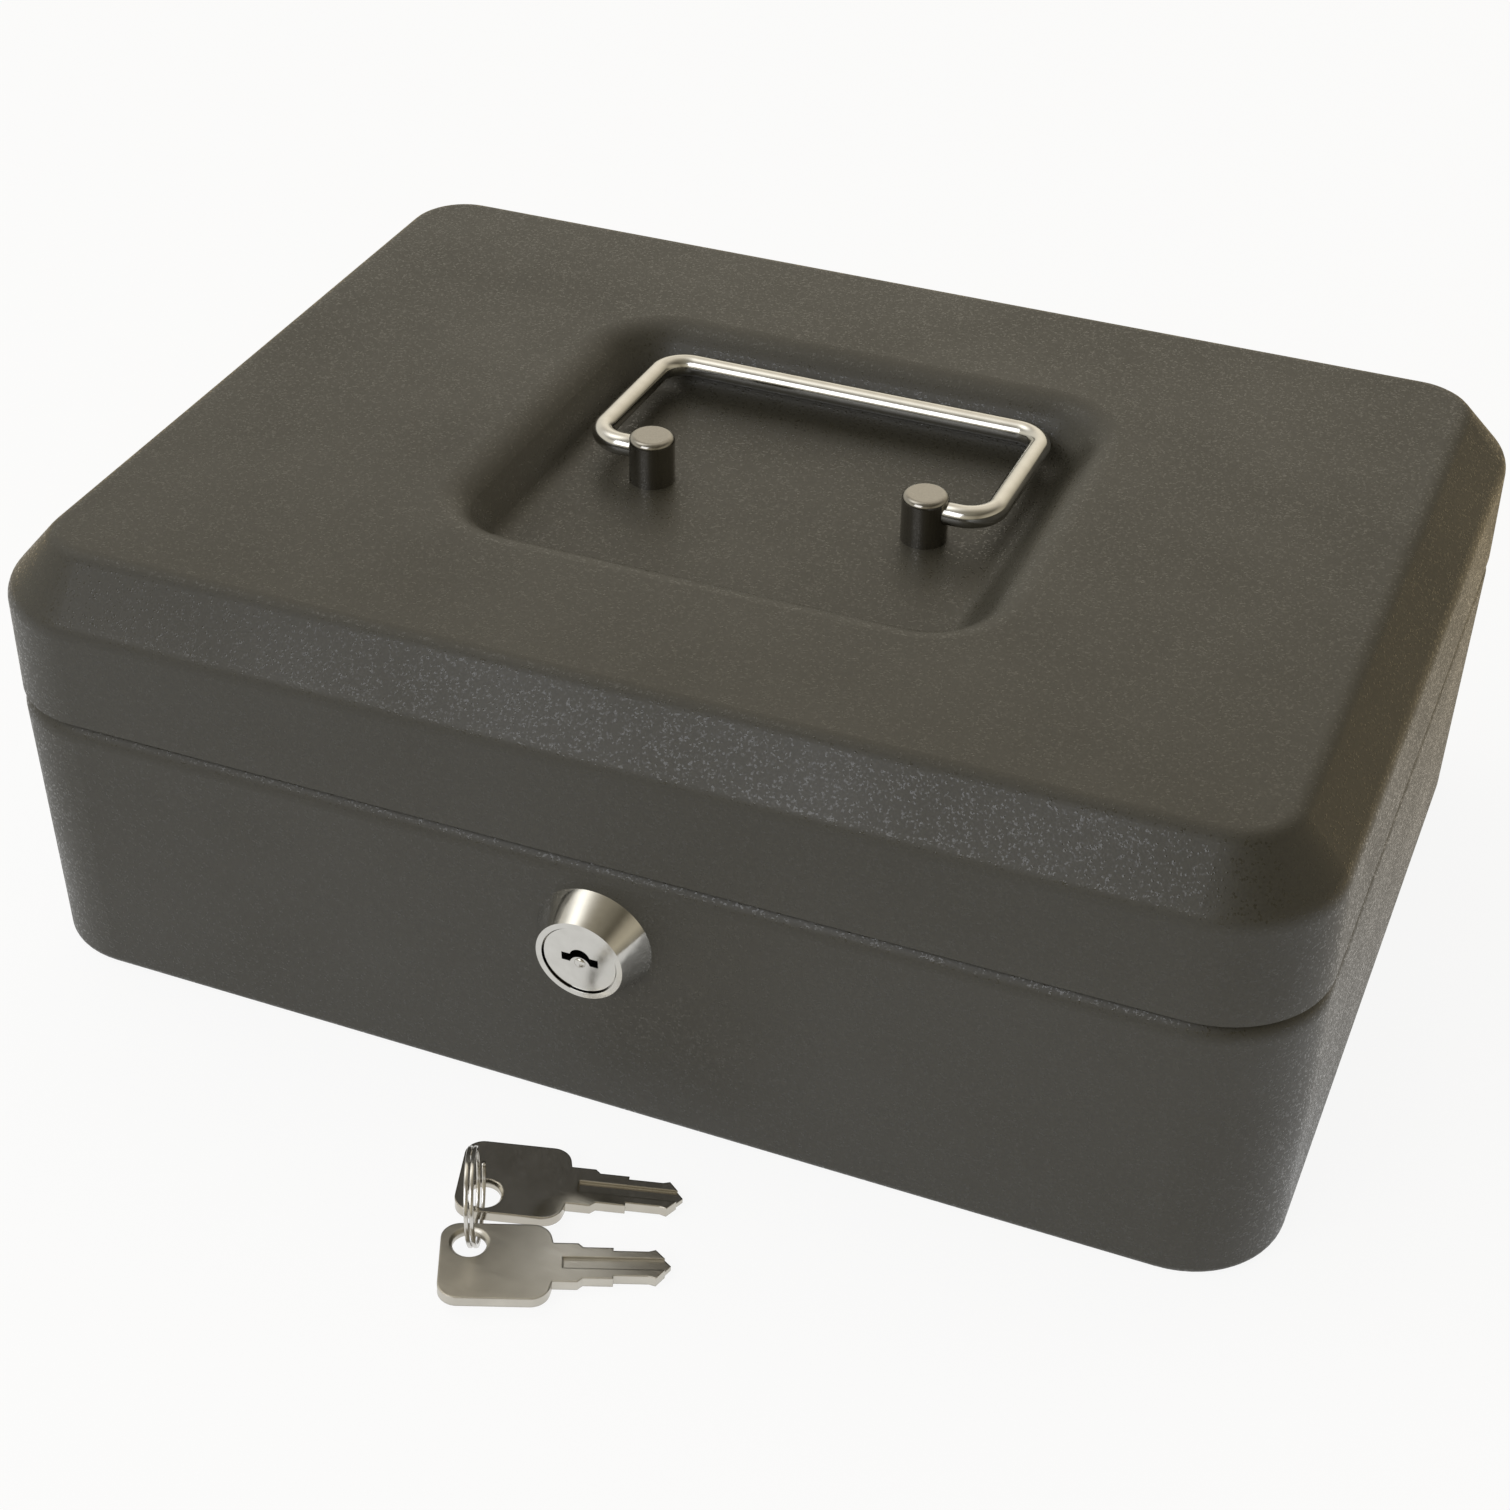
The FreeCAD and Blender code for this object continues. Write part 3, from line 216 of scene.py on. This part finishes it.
for heading, power, level, colour in WINDOWS:
    tint = [level * channel for channel in linear(colour)[:3]] + [1]
    cosine = add(tree, "ShaderNodeVectorMath", operation="DOT_PRODUCT", links={0: direction},
                 values={1: Vector(heading).normalized()})
    facing = add(tree, "ShaderNodeMath", operation="MAXIMUM", values={1: 0.0},
                 links={0: cosine.outputs["Value"]})
    spread = add(tree, "ShaderNodeMath", operation="POWER", values={1: power}, links={0: facing.outputs[0]})
    window = add(tree, "ShaderNodeMix", data_type="RGBA", values={FIRST: BLACK, SECOND: tint},
                 links={SHARE: spread.outputs[0]})
    room = add(tree, "ShaderNodeMix", data_type="RGBA", blend_type="ADD", values={SHARE: 1.0},
               links={FIRST: room.outputs[MIXED], SECOND: window.outputs[MIXED]})
pale = add(tree, "ShaderNodeBackground", values={"Strength": ROOM_LEVEL},
           links={"Color": room.outputs[MIXED]})
plain = add(tree, "ShaderNodeBackground", values={"Strength": 1.0, "Color": linear(BACKDROP)})
asked = add(tree, "ShaderNodeLightPath").outputs["Is Camera Ray"]
chosen = add(tree, "ShaderNodeMixShader", links={0: asked, 1: pale.outputs[0], 2: plain.outputs[0]})
add(tree, "ShaderNodeOutputWorld", links={"Surface": chosen.outputs[0]})
print("world:", len(tree.nodes), "nodes")

# %% [markdown]
# ## Lamp
# The front slope of the lid catches a broad, cool light from in front, from the left and from above. A
# small lamp would draw hard shadows and one hot spot, so this one is a softbox: a square three quarters of
# a metre wide that faces the box.

# %% Lamp
LAMP_HEADING = Vector((-0.25, -0.78, 0.57)).normalized()
LAMP_DISTANCE = 1.3
LAMP_AIM = Vector((0, 0, 0.05))
LAMP_WIDTH = 0.75
LAMP_WATTS = 5
LAMP_TONE = "#f3f6ff"
softbox = bpy.data.lights.new("key_softbox", "AREA")
softbox.shape = "SQUARE"
softbox.size = LAMP_WIDTH
softbox.energy = LAMP_WATTS
softbox.color = linear(LAMP_TONE)[:3]
lamp = bpy.data.objects.new("key_softbox", softbox)
lamp.location = LAMP_HEADING * LAMP_DISTANCE + LAMP_AIM
lamp.rotation_euler = LAMP_HEADING.to_track_quat("Z", "Y").to_euler()
scene.collection.objects.link(lamp)
print("lamp: %.1f W" % LAMP_WATTS)

# %% [markdown]
# ## The end of a finish
# Every finish here ends alike: two tones are mixed by a pattern, a height becomes bump, and both go with a
# roughness into one shader. That is written once. The patterns before it are what tells one finish from
# another.


# %% Finish helper
def close_finish(tree, tones, shade, roughness, height, relief, edges=None, **shader):
    """End a finish. The colour goes from the first tone to the second as shade goes from 0 to 1. Height
    stands out by relief, a strength and a depth in metres, from the facing that edges gives or the surface's
    own. What is left names the shader's other sockets."""
    colour = add(tree, "ShaderNodeMix", data_type="RGBA", links={SHARE: shade},
                 values={FIRST: linear(tones[0]), SECOND: linear(tones[1])})
    skin = add(tree, "ShaderNodeBump", values={"Strength": relief[0], "Distance": relief[1]},
               links={"Height": height})
    if edges is not None:
        tree.links.new(edges, skin.inputs["Normal"])
    surface = add(tree, "ShaderNodeBsdfPrincipled", values=shader,
                  links={"Base Color": colour.outputs[MIXED], "Roughness": roughness,
                         "Normal": skin.outputs[0]})
    add(tree, "ShaderNodeOutputMaterial", links={"Surface": surface.outputs[0]})


# %% [markdown]
# ## Powder coat
# The box is drawn steel with a baked polyester powder coat: black, a little warm, with the fine pebbled
# skin that melted powder leaves. Noise alone would make it look like leather. Some grains melted more fully
# and stand as tiny glossy beads: each is its own small mirror, so a face that is turned towards the light
# sparkles, and one that is turned away stays even. Voronoi cells give them: each cell has a random number,
# and those near the top of the range are beads. Pebbles and beads are drawn at about 0.4 mm, which is as
# fine as the picture shows.

# %% Pebbles and beads
PEBBLE = 0.42 * MM
PEBBLE_RISE = 0.22
BEAD = 0.35 * MM
BEAD_STARTS = 0.76
BEAD_FULL = 0.98
BEAD_REACH = 0.6
BEAD_RISE = 0.34
powder_coat, tree = new_finish("polyester_powder_coat_black")
place = add(tree, "ShaderNodeTexCoord").outputs["Object"]
pebbles = add(tree, "ShaderNodeTexNoise", values={"Scale": 1 / PEBBLE, "Detail": 0.0},
              links={"Vector": place})
cells = add(tree, "ShaderNodeTexVoronoi", values={"Scale": 1 / BEAD}, links={"Vector": place})
chance = add(tree, "ShaderNodeSeparateColor", links={0: cells.outputs["Color"]})
bead = add(tree, "ShaderNodeMapRange", values={"From Min": BEAD_STARTS, "From Max": BEAD_FULL},
           links={0: chance.outputs[0]})
round_top = add(tree, "ShaderNodeMapRange", links={0: cells.outputs["Distance"]},
                values={"From Max": BEAD_REACH, "To Min": BEAD_RISE, "To Max": 0.0})
low = add(tree, "ShaderNodeMath", operation="MULTIPLY", values={1: PEBBLE_RISE},
          links={0: pebbles.outputs[0]})
height = add(tree, "ShaderNodeMath", operation="MULTIPLY_ADD",
             links={0: bead.outputs[0], 1: round_top.outputs[0], 2: low.outputs[0]})
print("beads: %.2f mm, pebbles: %.2f mm" % (BEAD / MM, PEBBLE / MM))

# %% Powder coat
PATCH = 30 * MM
PATCH_WEAR = 0.04
SKIN_ROUGHNESS = 0.5
BEAD_ROUGHNESS = 0.13
SKIN_DEPTH = 0.085 * MM
patches = add(tree, "ShaderNodeTexNoise", values={"Scale": 1 / PATCH, "Detail": 3.0}, links={"Vector": place})
worn = add(tree, "ShaderNodeMapRange", links={0: patches.outputs[0]},
           values={"From Min": 0.3, "From Max": 0.7, "To Min": -PATCH_WEAR, "To Max": PATCH_WEAR})
dull = add(tree, "ShaderNodeMapRange", values={"To Min": SKIN_ROUGHNESS, "To Max": BEAD_ROUGHNESS},
           links={0: bead.outputs[0]})
rough = add(tree, "ShaderNodeMath", operation="ADD", links={0: worn.outputs[0], 1: dull.outputs[0]})
grain = add(tree, "ShaderNodeMapRange", values={"From Min": 0.32, "From Max": 0.68},
            links={0: pebbles.outputs[0]})
close_finish(tree, tones=("#2f2d25", "#35332a"), shade=grain.outputs[0], roughness=rough.outputs[0],
             height=height.outputs[0], relief=(1.0, SKIN_DEPTH), IOR=1.52)
print("coat: %.3f mm deep" % (SKIN_DEPTH / MM))

# %% [markdown]
# ## Chrome plate
# The handle and the lock are plated: copper, nickel and a last thin film of chromium over polished metal.
# Chromium is a nearly neutral mirror. A perfect one would look like glass, so the plating has a very low,
# long wave, and patches that hands have rubbed are a little duller and lighter than the rest.

# %% Chrome plate
PLATE_WAVE = 4 * MM
RUBBED_PATCH = 2.5 * MM
chrome_plate, tree = new_finish("bright_chrome_plate")
place = add(tree, "ShaderNodeTexCoord").outputs["Object"]
wave = add(tree, "ShaderNodeTexNoise", values={"Scale": 1 / PLATE_WAVE, "Detail": 1.0},
           links={"Vector": place})
rubs = add(tree, "ShaderNodeTexNoise", values={"Scale": 1 / RUBBED_PATCH, "Detail": 2.0},
           links={"Vector": place})
rough = add(tree, "ShaderNodeMapRange", links={0: rubs.outputs[0]},
            values={"From Min": 0.35, "From Max": 0.7, "To Min": 0.1, "To Max": 0.17})
close_finish(tree, tones=("#bdbbb6", "#d1d0cb"), shade=rubs.outputs[0], roughness=rough.outputs[0],
             height=wave.outputs[0], relief=(0.12, 0.1 * MM), Metallic=1.0)

# %% [markdown]
# ## Turned posts
# The two handle posts are cut from drawn bar. Their plating is thinner and greyer than the handle's, and
# the bar's drawing lines still show as upright streaks. Grooves in the mesh would need far too many faces,
# so a noise that is stretched along the height draws them. Real lines are finer; these are as fine as the
# picture shows.

# %% Turned posts
DRAWN_LINE = 0.35 * MM
DRAWN_LENGTH = 12 * MM
post_plate, tree = new_finish("plated_drawn_bar")
place = add(tree, "ShaderNodeTexCoord").outputs["Object"]
upright = add(tree, "ShaderNodeMapping", values={"Scale": (1 / DRAWN_LINE, 1 / DRAWN_LINE, 1 / DRAWN_LENGTH)},
              links={"Vector": place})
streaks = add(tree, "ShaderNodeTexNoise", values={"Scale": 1.0, "Detail": 2.0},
              links={"Vector": upright.outputs[0]})
rough = add(tree, "ShaderNodeMapRange", links={0: streaks.outputs[0]},
            values={"From Min": 0.35, "From Max": 0.7, "To Min": 0.08, "To Max": 0.2})
close_finish(tree, tones=("#85827c", "#9d9a93"), shade=streaks.outputs[0], roughness=rough.outputs[0],
             height=streaks.outputs[0], relief=(0.1, 0.03 * MM), Metallic=1.0)

# %% [markdown]
# ## Zinc plate
# Hidden hardware, such as the hinges, screws, nut, cam and strike, is zinc-plated steel: a bluish grey with
# soft blotches where the plating's crystals differ. One noise of a few octaves gives the blotches, and it
# drives the tone, the gloss and the relief together, since on real plate all three change with the
# crystals.

# %% Zinc plate
BLOTCH = 2.5 * MM
zinc_plate, tree = new_finish("clear_zinc_plate")
place = add(tree, "ShaderNodeTexCoord").outputs["Object"]
spots = add(tree, "ShaderNodeTexNoise", values={"Scale": 1 / BLOTCH, "Detail": 4.0}, links={"Vector": place})
rough = add(tree, "ShaderNodeMapRange", links={0: spots.outputs[0]},
            values={"From Min": 0.3, "From Max": 0.7, "To Min": 0.26, "To Max": 0.42})
close_finish(tree, tones=("#94979a", "#afb2b3"), shade=spots.outputs[0], roughness=rough.outputs[0],
             height=spots.outputs[0], relief=(0.15, 0.05 * MM), Metallic=1.0)

# %% [markdown]
# ## Tray plastic
# The coin tray is black polystyrene, moulded in a spark-eroded tool, which leaves an even matt grain of
# about a quarter of a millimetre. Such a grain can't be cut into the mesh, so a noise gives it, drawn at
# twice the real width, because a finer one wouldn't show.

# %% Tray plastic
TOOL_GRAIN = 0.5 * MM
tray_plastic, tree = new_finish("moulded_polystyrene_black")
place = add(tree, "ShaderNodeTexCoord").outputs["Object"]
grain = add(tree, "ShaderNodeTexNoise", values={"Scale": 1 / TOOL_GRAIN, "Detail": 2.0},
            links={"Vector": place})
rough = add(tree, "ShaderNodeMapRange", links={0: grain.outputs[0]},
            values={"From Min": 0.3, "From Max": 0.7, "To Min": 0.48, "To Max": 0.6})
close_finish(tree, tones=("#1d1d1e", "#29292a"), shade=grain.outputs[0], roughness=rough.outputs[0],
             height=grain.outputs[0], relief=(0.3, 0.05 * MM), IOR=1.59)

# %% [markdown]
# ## Nickel plate
# Key blanks are stamped from brass and nickel-plated. Nickel is warmer than chrome. The stamped faces were
# linished first, so fine scratches run along the blank; a noise that is stretched along one axis draws
# them, wider than they are, so that they show. The keys lie about 20 degrees from the X axis, so the
# pattern is turned by as much. The front key has been tumbled to a satin grey, and the rear one still has
# its bright plate, in which the dark box is mirrored. A tumbled edge is not sharp: the bevel node blends
# the facing of the two sides where they meet, with no change to the mesh.

# %% Nickel plate
SCRATCH = 0.25 * MM
SCRATCH_LENGTH = 9 * MM
CLOUD = 5 * MM
KEY_HEADING = math.radians(20)
EDGE_ROUND = 0.45 * MM
EDGE_SAMPLES = 6


def nickel(name, tones, smoothest, dullest):
    """A nickel finish between two tones and between two roughness values, with scratches along the key."""
    material, tree = new_finish(name)
    place = add(tree, "ShaderNodeTexCoord").outputs["Object"]
    along = add(tree, "ShaderNodeMapping", links={"Vector": place},
                values={"Rotation": (0, 0, -KEY_HEADING),
                        "Scale": (1 / SCRATCH_LENGTH, 1 / SCRATCH, 1 / SCRATCH)})
    scratches = add(tree, "ShaderNodeTexNoise", values={"Scale": 1.0, "Detail": 3.0},
                    links={"Vector": along.outputs[0]})
    clouds = add(tree, "ShaderNodeTexNoise", values={"Scale": 1 / CLOUD, "Detail": 2.0},
                 links={"Vector": place})
    rough = add(tree, "ShaderNodeMapRange", links={0: scratches.outputs[0]},
                values={"From Min": 0.3, "From Max": 0.7, "To Min": smoothest, "To Max": dullest})
    edges = add(tree, "ShaderNodeBevel", values={"Radius": EDGE_ROUND}, samples=EDGE_SAMPLES)
    close_finish(tree, tones, shade=clouds.outputs[0], roughness=rough.outputs[0],
                 height=scratches.outputs[0], relief=(0.05, 0.03 * MM), edges=edges.outputs[0], Metallic=1.0)
    return material


satin_nickel = nickel("satin_nickel_plate", ("#b4b0a6", "#cfcbc1"), 0.3, 0.42)
bright_nickel = nickel("bright_nickel_plate", ("#b3aea3", "#c2bdb2"), 0.06, 0.12)

# %% [markdown]
# ## Spring steel
# The split ring is coiled from flattened spring wire and tumbled bright, which leaves shallow dents about
# as wide as the wire. They are too low to change its outline, so bump is enough for them.

# %% Spring steel
DENT = 0.8 * MM
spring_steel, tree = new_finish("tumbled_spring_steel")
place = add(tree, "ShaderNodeTexCoord").outputs["Object"]
dents = add(tree, "ShaderNodeTexNoise", values={"Scale": 1 / DENT, "Detail": 2.0}, links={"Vector": place})
rough = add(tree, "ShaderNodeMapRange", links={0: dents.outputs[0]},
            values={"From Min": 0.3, "From Max": 0.7, "To Min": 0.14, "To Max": 0.26})
close_finish(tree, tones=("#bdbab4", "#d8d6d1"), shade=dents.outputs[0], roughness=rough.outputs[0],
             height=dents.outputs[0], relief=(0.15, 0.04 * MM), Metallic=1.0)

# %% [markdown]
# ## Finishes on the frame's own pieces
# A piece whose shape is already right only needs its finish, in the first slot of its mesh. Most of the
# small pieces are zinc-plated hardware, so only the others are listed.

# %% Give each node its finish
FINISHES = {
    powder_coat: ["base_shell", "lid_shell"],
    chrome_plate: ["handle_bail", "lock_housing", "lock_plug"],
    post_plate: ["post_left", "post_right"],
    tray_plastic: ["coin_tray"],
    satin_nickel: ["key_front"],
    bright_nickel: ["key_rear"],
    spring_steel: ["split_ring"],
}
finish_of = {node: finish for finish, nodes in FINISHES.items() for node in nodes}
for name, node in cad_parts.items():
    node.data.materials.clear()
    node.data.materials.append(finish_of.get(name, zinc_plate))
print("finished nodes:", len(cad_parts))

# %% [markdown]
# ## From a grid of points to a piece
# A surface with two parameters is a grid: rows along one, columns along the other. Neighbouring points make
# four-sided faces, and a surface that closes on itself, as a tube does, joins its last column to its first.
# One helper takes the whole grid as an array and makes a smooth piece that rides on a body of the box. Each
# end is closed by one more row, whose points all lie in the middle of the end's loop and are welded into
# one.

# %% Grid helper
WELD_DISTANCE = 0.001 * MM


def grid_piece(name, points, finish, body):
    """A piece from an array of rows, columns and x, y, z. Each row is a closed loop; the end rows are closed
    to the middle of their loop. Faces turn outwards where the columns run anticlockwise, seen from the last
    row."""
    first, last = points[:1].mean(axis=1, keepdims=True), points[-1:].mean(axis=1, keepdims=True)
    count = points.shape[1]
    points = np.concatenate([np.repeat(first, count, 1), points, np.repeat(last, count, 1)])
    near = np.arange(points.shape[0] - 1)[:, None] * count
    column = np.arange(count)[None, :]
    after = (column + 1) % count
    faces = np.stack([near + column, near + after, near + count + after, near + count + column], axis=-1)
    mesh = bpy.data.meshes.new(name)
    mesh.from_pydata(points.reshape(-1, 3).tolist(), [], faces.reshape(-1, 4).tolist())
    mesh.validate()
    mesh.shade_smooth()
    mesh.materials.append(finish)
    piece = bpy.data.objects.new(name, mesh)
    scene.collection.objects.link(piece)
    merge = piece.modifiers.new("close_ends", "WELD")
    merge.merge_threshold = WELD_DISTANCE
    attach(piece, body)
    print(name, "faces:", len(mesh.polygons))
    return piece


# %% [markdown]
# ## Handle
# The handle is one length of steel wire, bent in a press and then plated, so its bends are smooth and its
# long bar shows one unbroken streak of light. A tube of the frame's triangles would break that streak into
# short ones. Here a circle is carried along the wire's line: straight runs joined by quarter circles. The
# frame's own box of the handle tells how far it has tipped at rest, so the new wire lies where the old one
# does.

# %% Handle's line
WIRE_RADIUS = 2.2 * MM
WIRE_BEND = 6 * MM
BEND_STEPS = 24
BAIL_REACH = 37 * MM
BAIL_HALF_SPAN = 40.5 * MM
STUB_START = 25.5 * MM
PIVOT_HEIGHT = 86.3 * MM


def bent_line(corners, bend, arc_steps):
    """Points along straight runs joined by arcs: at each inner corner, the arc of a given radius that touches
    both runs, worked out for corners that are all right angles."""
    corners = np.array(corners)
    ways = np.diff(corners, axis=0)
    ways /= np.linalg.norm(ways, axis=1, keepdims=True)
    turn = np.linspace(0, math.pi / 2, arc_steps)[None, :, None]
    before, after = ways[:-1, None, :], ways[1:, None, :]
    start = corners[1:-1, None, :] - before * bend
    arcs = start + bend * (before * np.sin(turn) + after * (1 - np.cos(turn)))
    return np.concatenate([corners[:1], arcs.reshape(-1, 2), corners[-1:]])


line = bent_line([(-STUB_START, 0), (-BAIL_HALF_SPAN, 0), (-BAIL_HALF_SPAN, BAIL_REACH),
                  (BAIL_HALF_SPAN, BAIL_REACH), (BAIL_HALF_SPAN, 0), (STUB_START, 0)], WIRE_BEND, BEND_STEPS)
lowest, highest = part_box("handle_bail")
bar_middle = np.array([highest[1] - WIRE_RADIUS, (lowest[2] + WIRE_RADIUS) - PIVOT_HEIGHT])
tilt = math.atan2(bar_middle[1], bar_middle[0])
print("handle rests at %.2f degrees" % math.degrees(tilt))

# %% Handle's tube
WIRE_SIDES = 48
way = np.gradient(line, axis=0)
way /= np.linalg.norm(way, axis=1, keepdims=True)
side = np.stack([way[:, 1], -way[:, 0]], axis=1)
around = np.linspace(0, 2 * math.pi, WIRE_SIDES, endpoint=False)
flat = line[:, None, :] + WIRE_RADIUS * np.cos(around)[None, :, None] * side[:, None, :]
lift = np.broadcast_to(WIRE_RADIUS * np.sin(around)[None, :], flat.shape[:2])
tube = np.stack([flat[..., 0], flat[..., 1] * math.cos(tilt) - lift * math.sin(tilt),
                 PIVOT_HEIGHT + flat[..., 1] * math.sin(tilt) + lift * math.cos(tilt)], axis=-1)
# These columns run clockwise, so they are taken backwards to turn the faces outwards
bail = grid_piece("bail_wire", tube[:, ::-1], chrome_plate, "handle")
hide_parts("handle_bail")

# %% [markdown]
# ## Split ring
# The ring is two turns of flattened wire, side by side. A torus would show neither the two turns nor the
# ends of the wire. Its line is a helix: it goes round a level axis and moves one pitch along that axis in
# each turn. The wire's section is a square with round corners, which a superellipse gives: the square root
# of the cosine and of the sine, each with its sign kept.

# %% Split ring
RING_RADIUS = 8.4 * MM
RING_WIRE = 0.375 * MM
RING_PITCH = 0.95 * MM
RING_TURNS = 2
RING_FRONT = np.array([-4.5, -131.6]) * MM
RING_REAR = np.array([-9.1, -120.1]) * MM
RING_CLEARANCE = 0.05 * MM
RING_HEIGHT = RING_RADIUS + RING_WIRE + RING_CLEARANCE
RING_STEPS = 240
RING_SIDES = 20
angle = np.linspace(0, 2 * math.pi * RING_TURNS, RING_STEPS)[:, None]
around = np.linspace(0, 2 * math.pi, RING_SIDES, endpoint=False)[None, :]
across = RING_WIRE * np.sign(np.cos(around)) * np.sqrt(np.abs(np.cos(around)))
beside = RING_WIRE * np.sign(np.sin(around)) * np.sqrt(np.abs(np.sin(around)))
ahead = (RING_REAR - RING_FRONT) / np.linalg.norm(RING_REAR - RING_FRONT)
axis = np.array([ahead[1], -ahead[0]])
middle = (RING_FRONT + RING_REAR) / 2
out = RING_RADIUS + across
shift = RING_PITCH * (angle / (2 * math.pi) - RING_TURNS / 2) + beside
helix = np.stack([middle[0] + out * np.cos(angle) * ahead[0] + shift * axis[0],
                  middle[1] + out * np.cos(angle) * ahead[1] + shift * axis[1],
                  RING_HEIGHT + out * np.sin(angle)], axis=-1)
# These columns run clockwise too
ring = grid_piece("ring_coil", helix[:, ::-1], spring_steel, "keys")
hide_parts("split_ring")

# %% [markdown]
# ## Ward in the keyway
# The keyway arches over a small round ward, a stud that only the right key's channel can pass. A flat-ended
# cylinder would show no highlight, so it is a low dome: circles that shrink as the cosine while they rise
# as the sine. It stands square to the plug's face, which leans with the front wall.

# %% Ward
WALL_LEAN = 1.7 * MM
WALL_HEIGHT = 58.3 * MM
LOCK_CENTRE = np.array([0, -89.4955, 41.0]) * MM
DRAFT = math.atan(WALL_LEAN / WALL_HEIGHT)
LOCK_OUT = np.array([0, -math.cos(DRAFT), -math.sin(DRAFT)])
LOCK_UP = np.array([0, -math.sin(DRAFT), math.cos(DRAFT)])
LOCK_RIGHT = np.array([1.0, 0, 0])
FACE_OUT = 5.8 * MM
WARD_RADIUS = 1.05 * MM
WARD_RISE = 0.45 * MM
WARD_BELOW = 0.72 * MM
WARD_ROWS = 14
WARD_SIDES = 40
# The last circle is just short of the dome's top, which the helper closes
WARD_TOP = math.radians(88.2)
rise = np.linspace(0, WARD_TOP, WARD_ROWS)[:, None, None]
around = np.linspace(0, 2 * math.pi, WARD_SIDES, endpoint=False)[None, :, None]
reach = WARD_RADIUS * np.cos(rise)
dome = (LOCK_CENTRE - WARD_BELOW * LOCK_UP + reach * np.cos(around) * LOCK_RIGHT
        + reach * np.sin(around) * LOCK_UP + (FACE_OUT + WARD_RISE * np.sin(rise)) * LOCK_OUT)
grid_piece("keyway_ward", dome, chrome_plate, "lock_core")
